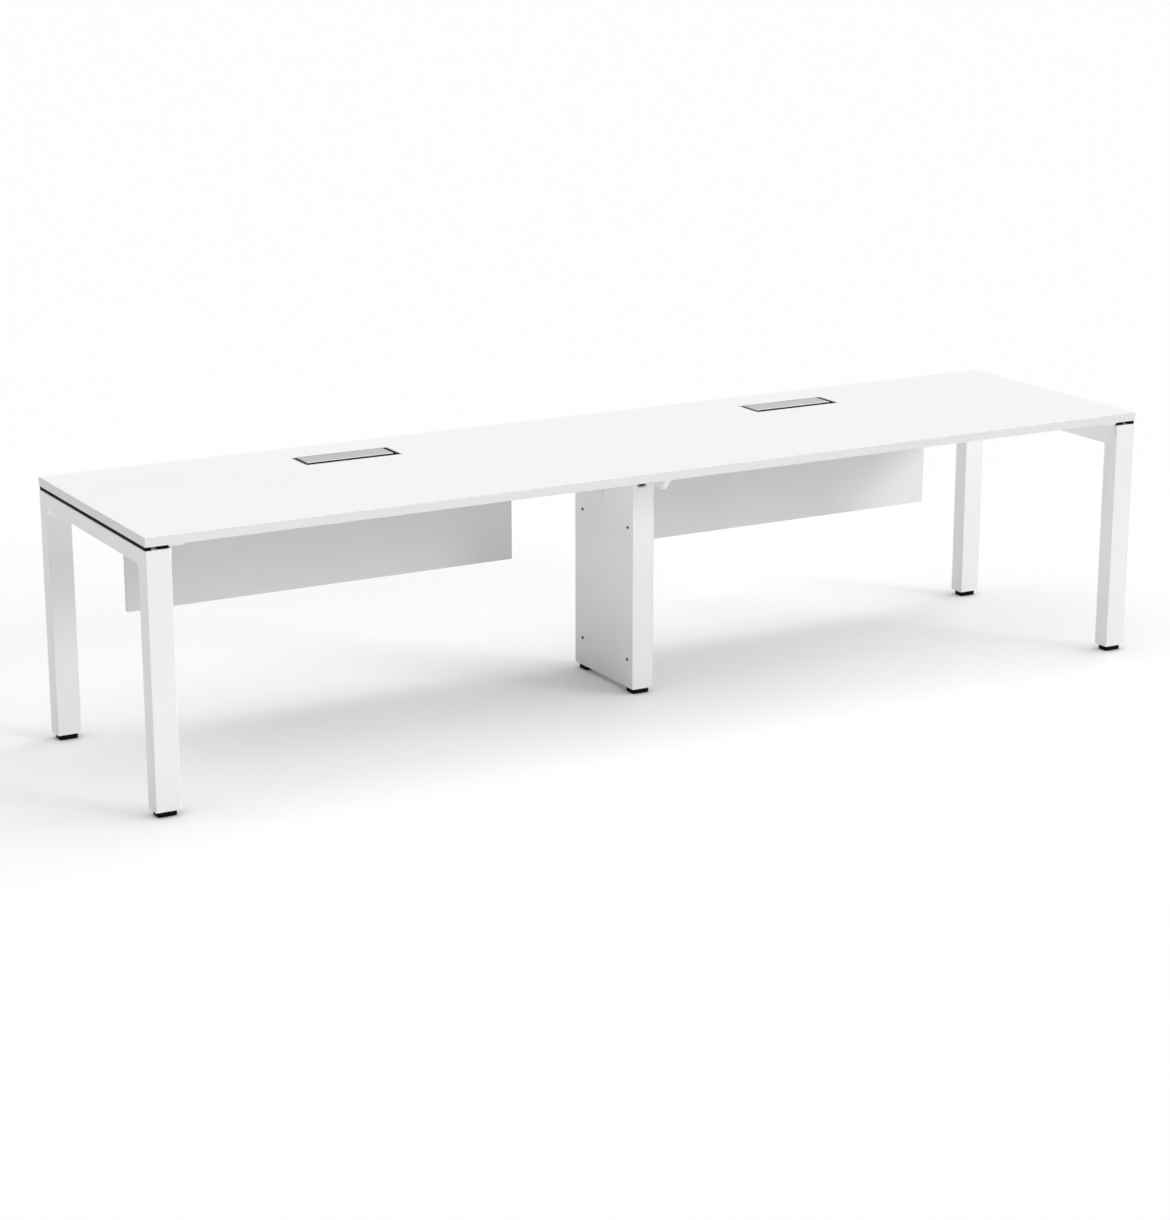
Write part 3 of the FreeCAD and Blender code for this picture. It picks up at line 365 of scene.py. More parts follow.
FINISHES = {finish.slot: finish for finish in (
    GrainedFinish(
        slot="laminate", low=grey(0.885), high=grey(0.915), smoothest=0.50, roughest=0.64,
        mottle_scale=2.2, relief=0.06 * MM, grain_scale=900.0, pitting=0.35, specular=0.5),
    GrainedFinish(
        slot="panel_board", low=grey(0.785), high=grey(0.815), smoothest=0.52, roughest=0.66,
        mottle_scale=2.6, relief=0.06 * MM, grain_scale=900.0, pitting=0.35, specular=0.5),
    GrainedFinish(
        slot="powder_coat", low=grey(0.895), high=grey(0.925), smoothest=0.38, roughest=0.48,
        mottle_scale=4.0, relief=0.10 * MM, grain_scale=420.0, pitting=0.1, specular=0.5),
    GrainedFinish(
        slot="black_plastic", low=grey(0.0015), high=grey(0.0035), smoothest=0.52, roughest=0.66,
        mottle_scale=30.0, relief=0.05 * MM, grain_scale=1500.0, pitting=0.8, specular=0.06),
    GrainedFinish(
        slot="brush", low=grey(0.003), high=grey(0.009), smoothest=0.60, roughest=0.75,
        mottle_scale=700.0, relief=0.02 * MM, grain_scale=2500.0, pitting=0.2, specular=0.05),
    GrainedFinish(
        slot="grey_nylon", low=grey(0.58), high=grey(0.65), smoothest=0.42, roughest=0.55,
        mottle_scale=60.0, relief=0.04 * MM, grain_scale=1200.0, pitting=0.4, specular=0.5),
    StreakedFinish(
        slot="edge_strip", low=grey(0.80), high=grey(0.83), smoothest=0.50, roughest=0.62,
        mottle_scale=3.0, relief=0.02 * MM, along=6.0, across=900.0, metallic=0.0),
    StreakedFinish(
        slot="anodised_aluminium", low=grey(0.70), high=grey(0.75), smoothest=0.30, roughest=0.42,
        mottle_scale=9.0, relief=0.02 * MM, along=8.0, across=1400.0, metallic=0.9),
    GrainedFinish(
        slot="black_steel", low=grey(0.03), high=grey(0.045), smoothest=0.40, roughest=0.52,
        mottle_scale=300.0, relief=0.02 * MM, grain_scale=2000.0, pitting=0.3, specular=0.3),
    StreakedFinish(
        slot="zinc_steel", low=(0.58, 0.59, 0.61), high=(0.64, 0.65, 0.66), smoothest=0.34, roughest=0.46,
        mottle_scale=220.0, relief=0.02 * MM, along=120.0, across=900.0, metallic=0.9),
)}


def dress_frame() -> None:
    """Give every CAD node the finish of its slot in the record."""
    for subpart in frame["record"]["subparts"]:
        node = frame["nodes"][subpart["node"]]
        node.data.materials.clear()
        node.data.materials.append(FINISHES[subpart["material_slot"]].material())


def put_in_scene(name: str, mesh: Mesh) -> Object:
    """Make an object of a mesh, at the origin.

    Args:
        name: the object's name.
        mesh: its mesh.

    Returns:
        The new object.
    """
    piece = bpy.data.objects.new(name, mesh)
    bpy.context.scene.collection.objects.link(piece)
    return piece


def bake(piece: Object) -> None:
    """Turn a piece's modifiers into its plain mesh.

    Args:
        piece: the object, which keeps no modifier.
    """
    bpy.context.view_layer.update()
    depsgraph = bpy.context.evaluated_depsgraph_get()
    made = piece.evaluated_get(depsgraph)
    mesh = bpy.data.meshes.new_from_object(made, preserve_all_data_layers=True, depsgraph=depsgraph)
    piece.modifiers.clear()
    piece.data = mesh


def settle(piece: Object, slot: str, body: str, replaced: tuple[str, ...] = ()) -> None:
    """Give a finished piece its material and its body, and hide the CAD nodes that it stands for.

    Args:
        piece: the object with its final mesh.
        slot: the record's material slot.
        body: the body that the piece moves with.
        replaced: CAD nodes that the piece hides.
    """
    piece.data.materials.clear()
    piece.data.materials.append(FINISHES[slot].material())
    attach(piece, body)
    if replaced:
        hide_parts(*replaced)
    LOG.info("%s: %d faces, %s", piece.name, len(piece.data.polygons), slot)


def smooth_piece(name: str, shape: BMesh, crease: float = 35.0) -> Object:
    """Close a shape's seams, turn its faces outward and make it a piece that is smooth up to a crease.

    Args:
        name: the piece's name.
        shape: the shape, which is freed.
        crease: the angle in degrees from which an edge stays sharp.

    Returns:
        The piece.
    """
    bmesh.ops.remove_doubles(shape, verts=shape.verts, dist=MERGE)
    bmesh.ops.dissolve_degenerate(shape, edges=shape.edges, dist=MERGE)
    bmesh.ops.recalc_face_normals(shape, faces=shape.faces)
    mesh = bpy.data.meshes.new(name)
    shape.to_mesh(mesh)
    shape.free()
    mesh.shade_smooth()
    mesh.set_sharp_from_angle(angle=math.radians(crease))
    return put_in_scene(name, mesh)


def even_shading(piece: Object) -> None:
    """Keep the flat faces next to rounded edges flat in their shading."""
    weighted = piece.modifiers.new("even_shading", "WEIGHTED_NORMAL")
    weighted.keep_sharp = True


def quarter_turn(steps: int) -> list[float]:
    """Return the angles of a quarter turn in even steps."""
    return [math.pi / 2 * step / steps for step in range(steps + 1)]


def skin(shape: BMesh, rings: list[list[Vector]]) -> None:
    """Join rings of points to a closed skin with a face at each end.

    Args:
        shape: the shape that gains the skin.
        rings: the rings in order, each with as many points as the others.
    """
    rows = [[shape.verts.new(point) for point in ring] for ring in rings]
    for near, far in zip(rows, rows[1:]):
        for one in range(len(near)):
            two = (one + 1) % len(near)
            shape.faces.new((near[one], near[two], far[two], far[one]))
    shape.faces.new(rows[0])
    shape.faces.new(rows[-1])


class ShapeRecipe:
    """A geometry node tree that makes a repeated shape, built on its first use."""

    name = ""
    inputs: dict[str, str] = {}

    def fill(self, sheet: NodeSheet, given: Node) -> NodeSocket:
        """Build the inside of the tree and return its geometry."""
        raise NotImplementedError

    def tree(self) -> NodeTree:
        """Find the node tree, or make it on the first call.

        Returns:
            The node tree.
        """
        if self.name not in bpy.data.node_groups:
            inputs = {"Geometry": "NodeSocketGeometry", **self.inputs, "Finish": "NodeSocketMaterial"}
            outputs = {"Geometry": "NodeSocketGeometry"}
            sheet = NodeSheet(new_tree(self.name, "GeometryNodeTree", inputs, outputs))
            given = sheet.add("NodeGroupInput")
            real = sheet.add("GeometryNodeRealizeInstances", {"Geometry": self.fill(sheet, given)})
            done = sheet.add("GeometryNodeSetMaterial", {"Geometry": real.outputs["Geometry"],
                                                         "Material": given.outputs["Finish"]})
            sheet.add("NodeGroupOutput", {"Geometry": done.outputs["Geometry"]})
        return bpy.data.node_groups[self.name]

    def make(self, piece: Object, values: dict, slot: str) -> None:
        """Grow the shape on a piece and keep it as a plain mesh.

        Args:
            piece: the object whose mesh the tree starts from.
            values: the tree's input names with their values.
            slot: the finish that the shape gets.
        """
        tree = self.tree()
        modifier = piece.modifiers.new(self.name, "NODES")
        modifier.node_group = tree
        given = {**values, "Finish": FINISHES[slot].material()}
        for item in tree.interface.items_tree:
            if item.in_out == "INPUT" and item.name in given:
                modifier[item.identifier] = given[item.name]
        bake(piece)


class Drive(Enum):
    """The recess in a fastener's head."""

    CROSS = "cross"
    HEX = "hex"


class FastenerRecipe(ShapeRecipe):
    """Headed fasteners on points that carry the way their heads face and their shanks' lengths."""

    inputs = dict.fromkeys(("Head Radius", "Head Height", "Head Round", "Shank Radius", "Recess Width",
                            "Recess Depth"), "NodeSocketFloat")
    sides = 28
    levels = 5
    shank_sides = 16
    key_sides = 6
    slot_share = 0.24
    crease_radians = 0.6

    def __init__(self, drive: Drive) -> None:
        """Choose the recess, which also names the tree."""
        self.drive = drive
        self.name = f"fasteners_{drive.value}"

    def fill(self, sheet: NodeSheet, given: Node) -> NodeSocket:
        """Build the inside of the tree.

        Args:
            sheet: the tree's node sheet.
            given: the tree's input node.

        Returns:
            The geometry.
        """
        head = self.hollow(sheet, given, self.turned_head(sheet, given))
        shank = sheet.add("GeometryNodeMeshCylinder", {"Vertices": self.shank_sides, "Depth": 1.0,
                                                       "Radius": given.outputs["Shank Radius"]})
        drop = sheet.add("GeometryNodeTransform", {"Geometry": shank.outputs["Mesh"],
                                                   "Translation": (0.0, 0.0, -0.5)})
        facing = self.attribute(sheet, "axis", "FLOAT_VECTOR")
        length = self.attribute(sheet, "length", "FLOAT")
        turn = sheet.add("FunctionNodeAlignRotationToVector", {"Vector": facing}, axis="Z")
        points = {"Points": given.outputs["Geometry"], "Rotation": turn.outputs["Rotation"]}
        heads = sheet.add("GeometryNodeInstanceOnPoints", {**points, "Instance": self.creased(sheet, head)})
        shanks = sheet.add("GeometryNodeInstanceOnPoints", {
            **points, "Instance": self.creased(sheet, drop.outputs["Geometry"]),
            "Scale": sheet.vector(1.0, 1.0, length)})
        both = sheet.add("GeometryNodeJoinGeometry")
        for part in (heads, shanks):
            sheet.feed(both.inputs["Geometry"], part.outputs["Instances"])
        return both.outputs["Geometry"]

    def turned_head(self, sheet: NodeSheet, given: Node) -> NodeSocket:
        """Turn a head with a rounded rim, whose top lies at zero height.

        Args:
            sheet: the tree's node sheet.
            given: the tree's input node.

        Returns:
            The head.
        """
        radius = given.outputs["Head Radius"]
        height = given.outputs["Head Height"]
        rim = given.outputs["Head Round"]
        blank = sheet.add("GeometryNodeMeshCylinder", {"Vertices": self.sides, "Side Segments": self.levels,
                                                       "Radius": radius, "Depth": 1.0})
        position = sheet.add("GeometryNodeInputPosition").outputs[0]
        place = sheet.add("ShaderNodeSeparateXYZ", {0: position}).outputs
        level = sheet.math("MULTIPLY", sheet.math("ADD", place["Z"], 0.5), float(self.levels))
        raised = sheet.math("MINIMUM", level, 1.0)
        bend_step = math.pi / 2 / (self.levels - 1)
        bend = sheet.math("MULTIPLY", sheet.math("SUBTRACT", level, raised), bend_step)
        inward = sheet.math("MULTIPLY", rim, sheet.math("SUBTRACT", 1.0, sheet.math("COSINE", bend, 0.0)))
        shrink = sheet.math("SUBTRACT", 1.0, sheet.math("DIVIDE", inward, radius))
        wall = sheet.math("MULTIPLY", raised, sheet.math("SUBTRACT", height, rim))
        rise = sheet.math("MULTIPLY", rim, sheet.math("SINE", bend, 0.0))
        up = sheet.math("SUBTRACT", sheet.math("ADD", wall, rise), height)
        spot = sheet.vector(sheet.math("MULTIPLY", place["X"], shrink),
                            sheet.math("MULTIPLY", place["Y"], shrink), up)
        head = sheet.add("GeometryNodeSetPosition", {"Geometry": blank.outputs["Mesh"], "Position": spot})
        return head.outputs["Geometry"]

    def hollow(self, sheet: NodeSheet, given: Node, head: NodeSocket) -> NodeSocket:
        """Cut the recess into a head.

        Args:
            sheet: the tree's node sheet.
            given: the tree's input node.
            head: the head without a recess.

        Returns:
            The head with its recess.
        """
        depth = sheet.math("MULTIPLY", given.outputs["Recess Depth"], 2.0)
        width = given.outputs["Recess Width"]
        cut = sheet.add("GeometryNodeMeshBoolean", {"Mesh 1": head}, operation="DIFFERENCE", solver="EXACT")
        if self.drive is Drive.HEX:
            key = sheet.add("GeometryNodeMeshCylinder", {"Vertices": self.key_sides, "Depth": depth,
                                                         "Radius": sheet.math("MULTIPLY", width, 0.5)})
            sheet.feed(cut.inputs["Mesh 2"], key.outputs["Mesh"])
        else:
            thin = sheet.math("MULTIPLY", width, self.slot_share)
            for across, along in ((width, thin), (thin, width)):
                key = sheet.add("GeometryNodeMeshCube", {"Size": sheet.vector(across, along, depth)})
                sheet.feed(cut.inputs["Mesh 2"], key.outputs["Mesh"])
        return cut.outputs["Mesh"]

    def attribute(self, sheet: NodeSheet, label: str, kind: str) -> NodeSocket:
        """Return a named value of the points."""
        node = sheet.add("GeometryNodeInputNamedAttribute", {"Name": label}, data_type=kind)
        return next(socket for socket in node.outputs if socket.enabled and socket.name == "Attribute")

    def creased(self, sheet: NodeSheet, shape: NodeSocket) -> NodeSocket:
        """Shade a shape smoothly but for its sharp edges.

        Args:
            sheet: the tree's node sheet.
            shape: the shape.

        Returns:
            The shaded shape.
        """
        soft = sheet.add("GeometryNodeSetShadeSmooth", {"Geometry": shape, "Shade Smooth": True},
                         domain="FACE")
        angle = sheet.add("GeometryNodeInputMeshEdgeAngle").outputs["Unsigned Angle"]
        gentle = sheet.add("FunctionNodeCompare", {0: angle, 1: self.crease_radians}, data_type="FLOAT",
                           operation="LESS_THAN")
        keen = sheet.add("GeometryNodeSetShadeSmooth", {
            "Geometry": soft.outputs["Geometry"], "Shade Smooth": gentle.outputs["Result"]}, domain="EDGE")
        return keen.outputs["Geometry"]


@dataclass
class FastenerSet:
    """The screws or bolts of one CAD node, remade with a recess in each head."""

    node: str
    drive: Drive
    head_radius: float
    head_height: float
    head_round: float
    shank_radius: float
    recess_width: float
    recess_depth: float
    slot: str = "zinc_steel"
    weld: float = 0.01 * MM
    head_margin: float = 1.3

    def build(self) -> None:
        """Make every fastener of the node as one piece."""
        spots = [self.spot(island) for island in self.islands()]
        mesh = bpy.data.meshes.new(f"{self.node}_made")
        mesh.from_pydata([top for top, axis, length in spots], [], [])
        for label, kind in (("axis", "FLOAT_VECTOR"), ("length", "FLOAT")):
            mesh.attributes.new(label, kind, "POINT")
        for number, (top, axis, length) in enumerate(spots):
            mesh.attributes["axis"].data[number].vector = axis
            mesh.attributes["length"].data[number].value = length
        piece = put_in_scene(f"{self.node}_made", mesh)
        values = {"Head Radius": self.head_radius, "Head Height": self.head_height,
                  "Head Round": self.head_round, "Shank Radius": self.shank_radius,
                  "Recess Width": self.recess_width, "Recess Depth": self.recess_depth}
        FastenerRecipe(self.drive).make(piece, values, self.slot)
        settle(piece, self.slot, "desk", (self.node,))

    def islands(self) -> list[list[Vector]]:
        """Part the CAD node into its separate fasteners.

        Returns:
            The points of each fastener.
        """
        shape = bmesh.new()
        shape.from_mesh(frame["nodes"][self.node].data)
        bmesh.ops.remove_doubles(shape, verts=shape.verts, dist=self.weld)
        left = set(shape.verts)
        found = []
        while left:
            group = [left.pop()]
            for vertex in group:
                beside = {edge.other_vert(vertex) for edge in vertex.link_edges} & left
                left -= beside
                group.extend(beside)
            found.append([vertex.co.copy() for vertex in group])
        shape.free()
        return found

    def spot(self, points: list[Vector]) -> tuple[Vector, Vector, float]:
        """Find where a fastener's head ends, which way it faces and how long its shank is.

        Args:
            points: the fastener's CAD points.

        Returns:
            The middle of the head's end, the way that it faces and the length from there to the tip.
        """
        low = Vector(min(point[k] for point in points) for k in range(3))
        high = Vector(max(point[k] for point in points) for k in range(3))
        middle = (low + high) / 2
        spread = [max((high - low)[k] for k in range(3) if k != along) for along in range(3)]
        along = min(range(3), key=lambda k: abs(spread[k] - 2 * self.head_radius))
        reach = self.head_margin * self.shank_radius
        wide = [point for point in points if self.off_axis(point - middle, along) > reach]
        sign = 1.0 if sum(point[along] for point in wide) > middle[along] * len(wide) else -1.0
        axis = Vector((0.0, 0.0, 0.0))
        axis[along] = sign
        length = high[along] - low[along]
        return middle + axis * length / 2, axis, length

    def off_axis(self, offset: Vector, along: int) -> float:
        """Return how far a point lies from a line along one axis."""
        return math.hypot(*(offset[k] for k in range(3) if k != along))


class BristleRecipe(ShapeRecipe):
    """A back strip with rows of bristles that leave it towards the lid."""

    name = "bristle_rows"
    inputs = {"Length": "NodeSocketFloat", "Band Height": "NodeSocketFloat", "Reach": "NodeSocketFloat",
              "Thickness": "NodeSocketFloat", "Columns": "NodeSocketInt", "Rows": "NodeSocketInt",
              "Lean": "NodeSocketFloat", "Seed": "NodeSocketInt", "Root": "NodeSocketVector",
              "Back Size": "NodeSocketVector", "Back Middle": "NodeSocketVector"}
    sides = 4
    taper = 0.6
    tilt_share = 0.3
    least_size = (0.8, 0.86, 0.8)
    full_size = (1.0, 1.0, 1.0)

    def fill(self, sheet: NodeSheet, given: Node) -> NodeSocket:
        """Build the inside of the tree.

        Args:
            sheet: the tree's node sheet.
            given: the tree's input node.

        Returns:
            The geometry.
        """
        value = given.outputs
        grid = sheet.add("GeometryNodeMeshGrid", {
            "Size X": value["Length"], "Size Y": value["Band Height"], "Vertices X": value["Columns"],
            "Vertices Y": value["Rows"]})
        stood = sheet.add("GeometryNodeTransform", {
            "Geometry": grid.outputs["Mesh"], "Translation": value["Root"],
            "Rotation": (math.pi / 2, 0.0, 0.0)})
        tip = sheet.math("MULTIPLY", value["Thickness"], self.taper)
        hair = sheet.add("GeometryNodeMeshCone", {
            "Vertices": self.sides, "Radius Bottom": value["Thickness"], "Radius Top": tip,
            "Depth": value["Reach"]})
        laid = sheet.add("GeometryNodeTransform", {"Geometry": hair.outputs["Mesh"],
                                                   "Rotation": (-math.pi / 2, 0.0, 0.0)})
        tilt = sheet.math("MULTIPLY", value["Lean"], self.tilt_share)
        lean = sheet.vector(tilt, math.pi, value["Lean"])
        back = sheet.add("ShaderNodeVectorMath", {0: lean, 1: (-1.0, -1.0, -1.0)}, operation="MULTIPLY")
        turn, size = (
            sheet.add("FunctionNodeRandomValue", {0: least, 1: most, "Seed": value["Seed"]},
                      data_type="FLOAT_VECTOR").outputs[0]
            for least, most in ((back.outputs["Vector"], lean), (self.least_size, self.full_size)))
        hairs = sheet.add("GeometryNodeInstanceOnPoints", {
            "Points": stood.outputs["Geometry"], "Instance": laid.outputs["Geometry"], "Rotation": turn,
            "Scale": size})
        strip = sheet.add("GeometryNodeMeshCube", {"Size": value["Back Size"]})
        seat = sheet.add("GeometryNodeTransform", {"Geometry": strip.outputs["Mesh"],
                                                   "Translation": value["Back Middle"]})
        both = sheet.add("GeometryNodeJoinGeometry")
        for part in (hairs.outputs["Instances"], seat.outputs["Geometry"]):
            sheet.feed(both.inputs["Geometry"], part)
        return both.outputs["Geometry"]


@dataclass
class BrushStrip:
    """The brush in front of one cable flap, with single bristles."""

    side: str
    back_depth: float = 4.0 * MM
    band_low: float = 4.5 * MM
    band_high: float = 7.5 * MM
    thickness: float = 0.36 * MM
    pitch: float = 0.62 * MM
    rows: int = 5
    lean: float = 0.05
    root_sink: float = 0.2 * MM
    end_margin: float = 0.9 * MM
    seed: int = 7
    slot: str = "brush"

    def build(self) -> None:
        """Grow the bristles and their back strip where the CAD node has a solid band."""
        node = f"{self.side}_brush_strip"
        low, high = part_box(node)
        middle = (low + high) / 2
        length = high.x - low.x
        band = self.band_high - self.band_low
        root = (middle.x, low.y + self.back_depth - self.root_sink, low.z + self.band_low + band / 2)
        values = {"Length": length - 2 * self.end_margin, "Band Height": band - 2 * self.thickness,
                  "Reach": high.y - root[1], "Thickness": self.thickness, "Rows": self.rows,
                  "Columns": int(length / self.pitch), "Lean": self.lean, "Seed": self.seed, "Root": root,
                  "Back Size": (length, self.back_depth, high.z - low.z),
                  "Back Middle": (middle.x, low.y + self.back_depth / 2, middle.z)}
        piece = put_in_scene(f"{self.side}_brush", bpy.data.meshes.new(f"{self.side}_brush"))
        BristleRecipe().make(piece, values, self.slot)
        settle(piece, self.slot, "desk", (node,))


@dataclass
class LevellingFoot:
    """A moulded foot pad on a threaded stud."""

    name: str
    pad_height: float = 16.0 * MM
    corner: float = 8.0 * MM
    edge: float = 1.5 * MM
    sole_edge: float = 2.0 * MM
    sole_rim: float = 5.0 * MM
    sole_hollow: float = 0.6 * MM
    thread_root: float = 4.35 * MM
    thread_crest: float = 5.0 * MM
    thread_pitch: float = 1.5 * MM
    thread_levels: int = 6
    thread_flank: float = 1.6
    thread_flat: float = 0.3
    thread_crease: float = 50.0
    stud_sink: float = 0.5 * MM
    least_corner: float = 0.5 * MM
    edge_steps: int = 5
    sides: int = 24

    def build(self) -> None:
        """Make the pad and the stud, which rise and sink with the foot's body."""
        node = f"{self.name}_foot"
        body = f"{self.name}_leveller"
        low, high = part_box(node)
        pad = smooth_piece(f"{self.name}_pad", self.pad(low, high))
        even_shading(pad)
        bake(pad)
        settle(pad, "black_plastic", body, (node,))
        stud = smooth_piece(f"{self.name}_stud", self.stud(low, high), self.thread_crease)
        settle(stud, "zinc_steel", body)

    def pad(self, low: Vector, high: Vector) -> BMesh:
        """Shape a pad with rounded corners and edges and a hollow sole.

        Args:
            low: the CAD foot's lowest corner.
            high: the CAD foot's highest corner.

        Returns:
            The pad.
        """
        steps = [(self.sole_rim + self.sole_hollow, self.sole_hollow), (self.sole_rim, 0.0)]
        for radius, start, across in ((self.sole_edge, 0.0, 1), (self.edge, self.pad_height, -1)):
            arc = [(radius * (1 - math.sin(turn)), start + across * radius * (1 - math.cos(turn)))
                   for turn in quarter_turn(self.edge_steps)]
            steps.extend(arc if across > 0 else reversed(arc))
        shape = bmesh.new()
        skin(shape, [self.ring(low, high, inset, low.z + rise) for inset, rise in steps])
        return shape

    def ring(self, low: Vector, high: Vector, inset: float, level: float) -> list[Vector]:
        """Return a rounded rectangle inside the pad's outline.

        Args:
            low: the CAD foot's lowest corner.
            high: the CAD foot's highest corner.
            inset: how far the ring lies inside the outline.
            level: its height.

        Returns:
            The ring's points.
        """
        middle = (low + high) / 2
        radius = max(self.corner - inset, self.least_corner)
        half_x = (high.x - low.x) / 2 - inset - radius
        half_y = (high.y - low.y) / 2 - inset - radius
        points = []
        for step in range(self.sides):
            turn = 2 * math.pi * (step + 0.5) / self.sides
            x = middle.x + math.copysign(half_x, math.cos(turn)) + radius * math.cos(turn)
            y = middle.y + math.copysign(half_y, math.sin(turn)) + radius * math.sin(turn)
            points.append(Vector((x, y, level)))
        return points

    def stud(self, low: Vector, high: Vector) -> BMesh:
        """Shape a stud with a screw thread from the pad up.

        Args:
            low: the CAD foot's lowest corner.
            high: the CAD foot's highest corner.

        Returns:
            The stud.
        """
        middle = (low + high) / 2
        start = low.z + self.pad_height - self.stud_sink
        count = int((high.z - start) / self.thread_pitch * self.thread_levels)
        rings = []
        for level in range(count + 1):
            rise = (high.z - start) * level / count
            ring = []
            for step in range(self.sides):
                share = step / self.sides
                wave = abs(2 * ((rise / self.thread_pitch - share) % 1.0) - 1)
                ridge = min(max(self.thread_flank * wave - self.thread_flat, 0.0), 1.0)
                radius = self.thread_root + (self.thread_crest - self.thread_root) * ridge
                turn = 2 * math.pi * share
                ring.append(Vector((middle.x + radius * math.cos(turn), middle.y + radius * math.sin(turn),
                                    start + rise)))
            rings.append(ring)
        shape = bmesh.new()
        skin(shape, rings)
        return shape


@dataclass
class EndFrame:
    """One inverted-U end frame, welded and painted as a single piece, with an apron on its inner side."""

    side: str
    sign: float
    edge: float = 3.0 * MM
    corner: float = 22.0 * MM
    apron_edge: float = 1.0 * MM
    wall: float = 2.0 * MM
    socket_depth: float = 40.5 * MM
    access_radius: float = 6.0 * MM
    access_inset: float = 150.0 * MM
    access_depth: float = 42.0 * MM
    arc_steps: int = 8
    edge_steps: int = 5
    hole_sides: int = 24
    level_slack: float = 0.01 * MM
    slot: str = "powder_coat"
    legs: tuple[Vector, Vector] = field(init=False)
    bar: tuple[Vector, Vector] = field(init=False)
    apron_low: float = field(init=False)

    def __post_init__(self) -> None:
        """Read the frame's sizes from its CAD nodes."""
        self.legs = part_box(f"{self.side}_rear_leg")
        self.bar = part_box(f"{self.side}_crossbar")
        self.apron_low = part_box("crossbar_aprons")[0].z

    def build(self) -> None:
        """Make the frame, drill its access holes and settle it over the CAD nodes."""
        name = f"{self.side}_end_frame"
        shape = bmesh.new()
        skin(shape, self.sections())
        bmesh.ops.remove_doubles(shape, verts=shape.verts, dist=MERGE)
        bmesh.ops.recalc_face_normals(shape, faces=shape.faces)
        self.open_legs(shape)
        piece = smooth_piece(name, shape)
        drills = self.drills()
        cut = piece.modifiers.new("access_holes", "BOOLEAN")
        cut.object = drills
        cut.operation = "DIFFERENCE"
        cut.solver = "EXACT"
        even_shading(piece)
        bake(piece)
        bpy.data.objects.remove(drills)
        nodes = [f"{self.side}_{part}" for part in ("front_leg", "rear_leg", "crossbar")]
        settle(piece, self.slot, "desk", (*nodes, "corner_webs", "crossbar_aprons", "leg_top_caps"))

    def sections(self) -> list[list[Vector]]:
        """Lay out the frame's outlines from its outer face to its inner one.

        Returns:
            The outlines, with as many points each.
        """
        outer = max(abs(corner.x) for corner in self.legs)
        leg_inner, bar_inner = (min(abs(corner.x) for corner in box) for box in (self.legs, self.bar))
        bar_low = self.bar[0].z
        apron_corner = self.apron_low - (bar_low - self.corner)
        bends = quarter_turn(self.edge_steps)
        rings = []
        for bend in bends:
            inset = self.edge * (1 - math.sin(bend))
            across = outer - self.edge * (1 - math.cos(bend))
            rings.append(self.outline(across, inset, inset, bar_low, self.corner))
        rings.append(self.outline(bar_inner, 0.0, 0.0, bar_low, self.corner))
        for bend in reversed(bends):
            inset = self.edge * (1 - math.sin(bend))
            across = leg_inner + (bar_inner - leg_inner) * (1 - math.cos(bend))
            lift = self.apron_edge * (1 - math.sin(bend))
            rings.append(self.outline(across, inset, lift, self.apron_low, apron_corner))
        return rings

    def outline(self, across: float, inset: float, lift: float, underside: float,
                corner: float) -> list[Vector]:
        """Return the U's outline in one upright plane.

        Args:
            across: the plane's distance from the middle of the desk.
            inset: how far the outline lies inside the metal.
            lift: the same at the lower edge of the crossbar.
            underside: the height of that edge.
            corner: the radius of the inner corners.

        Returns:
            The outline's points.
        """
        foot = self.legs[0].z
        outer = self.legs[1].y - inset
        inner = self.legs[0].y + inset
        top = self.bar[1].z - inset
        flat = [(-outer, foot), (-outer, top), (outer, top), (outer, foot), (inner, foot)]
        arc = [(self.legs[0].y - corner + (corner + inset) * math.cos(turn),
                underside - corner + (corner + lift) * math.sin(turn))
               for turn in quarter_turn(self.arc_steps)]
        flat.extend(arc)
        flat.extend((-y, z) for y, z in reversed(arc))
        flat.append((-inner, foot))
        return [Vector((self.sign * across, y, z)) for y, z in flat]

    def open_legs(self, shape: BMesh) -> None:
        """Hollow the ends of both legs as far as their foot plugs reach.

        Args:
            shape: the solid frame.
        """
        foot = self.legs[0].z
        ends = [face for face in shape.faces
                if all(abs(vertex.co.z - foot) < self.level_slack for vertex in face.verts)]
        bmesh.ops.inset_region(shape, faces=ends, thickness=self.wall, use_even_offset=True)
        grown = bmesh.ops.extrude_face_region(shape, geom=ends)["geom"]
        moved = [item for item in grown if isinstance(item, BMVert)]
        bmesh.ops.translate(shape, verts=moved, vec=(0.0, 0.0, self.socket_depth))
        bmesh.ops.delete(shape, geom=[face for face in ends if face.is_valid], context="FACES_ONLY")

    def drills(self) -> Object:
        """Make the two cylinders that cut the access holes in the crossbar's underside.

        Returns:
            Both cylinders as one object.
        """
        shape = bmesh.new()
        across = (self.legs[0].x + self.legs[1].x) / 2
        height = self.bar[0].z + self.access_depth
        for sign in (-1.0, 1.0):
            along = sign * (self.legs[0].y - self.access_inset)
            low = self.apron_low - self.corner
            turns = [2 * math.pi * step / self.hole_sides for step in range(self.hole_sides)]
            rings = [[Vector((across + self.access_radius * math.cos(turn),
                              along + self.access_radius * math.sin(turn), level)) for turn in turns]
                     for level in (low, height)]
            skin(shape, rings)
        return smooth_piece(f"{self.side}_drills", shape)


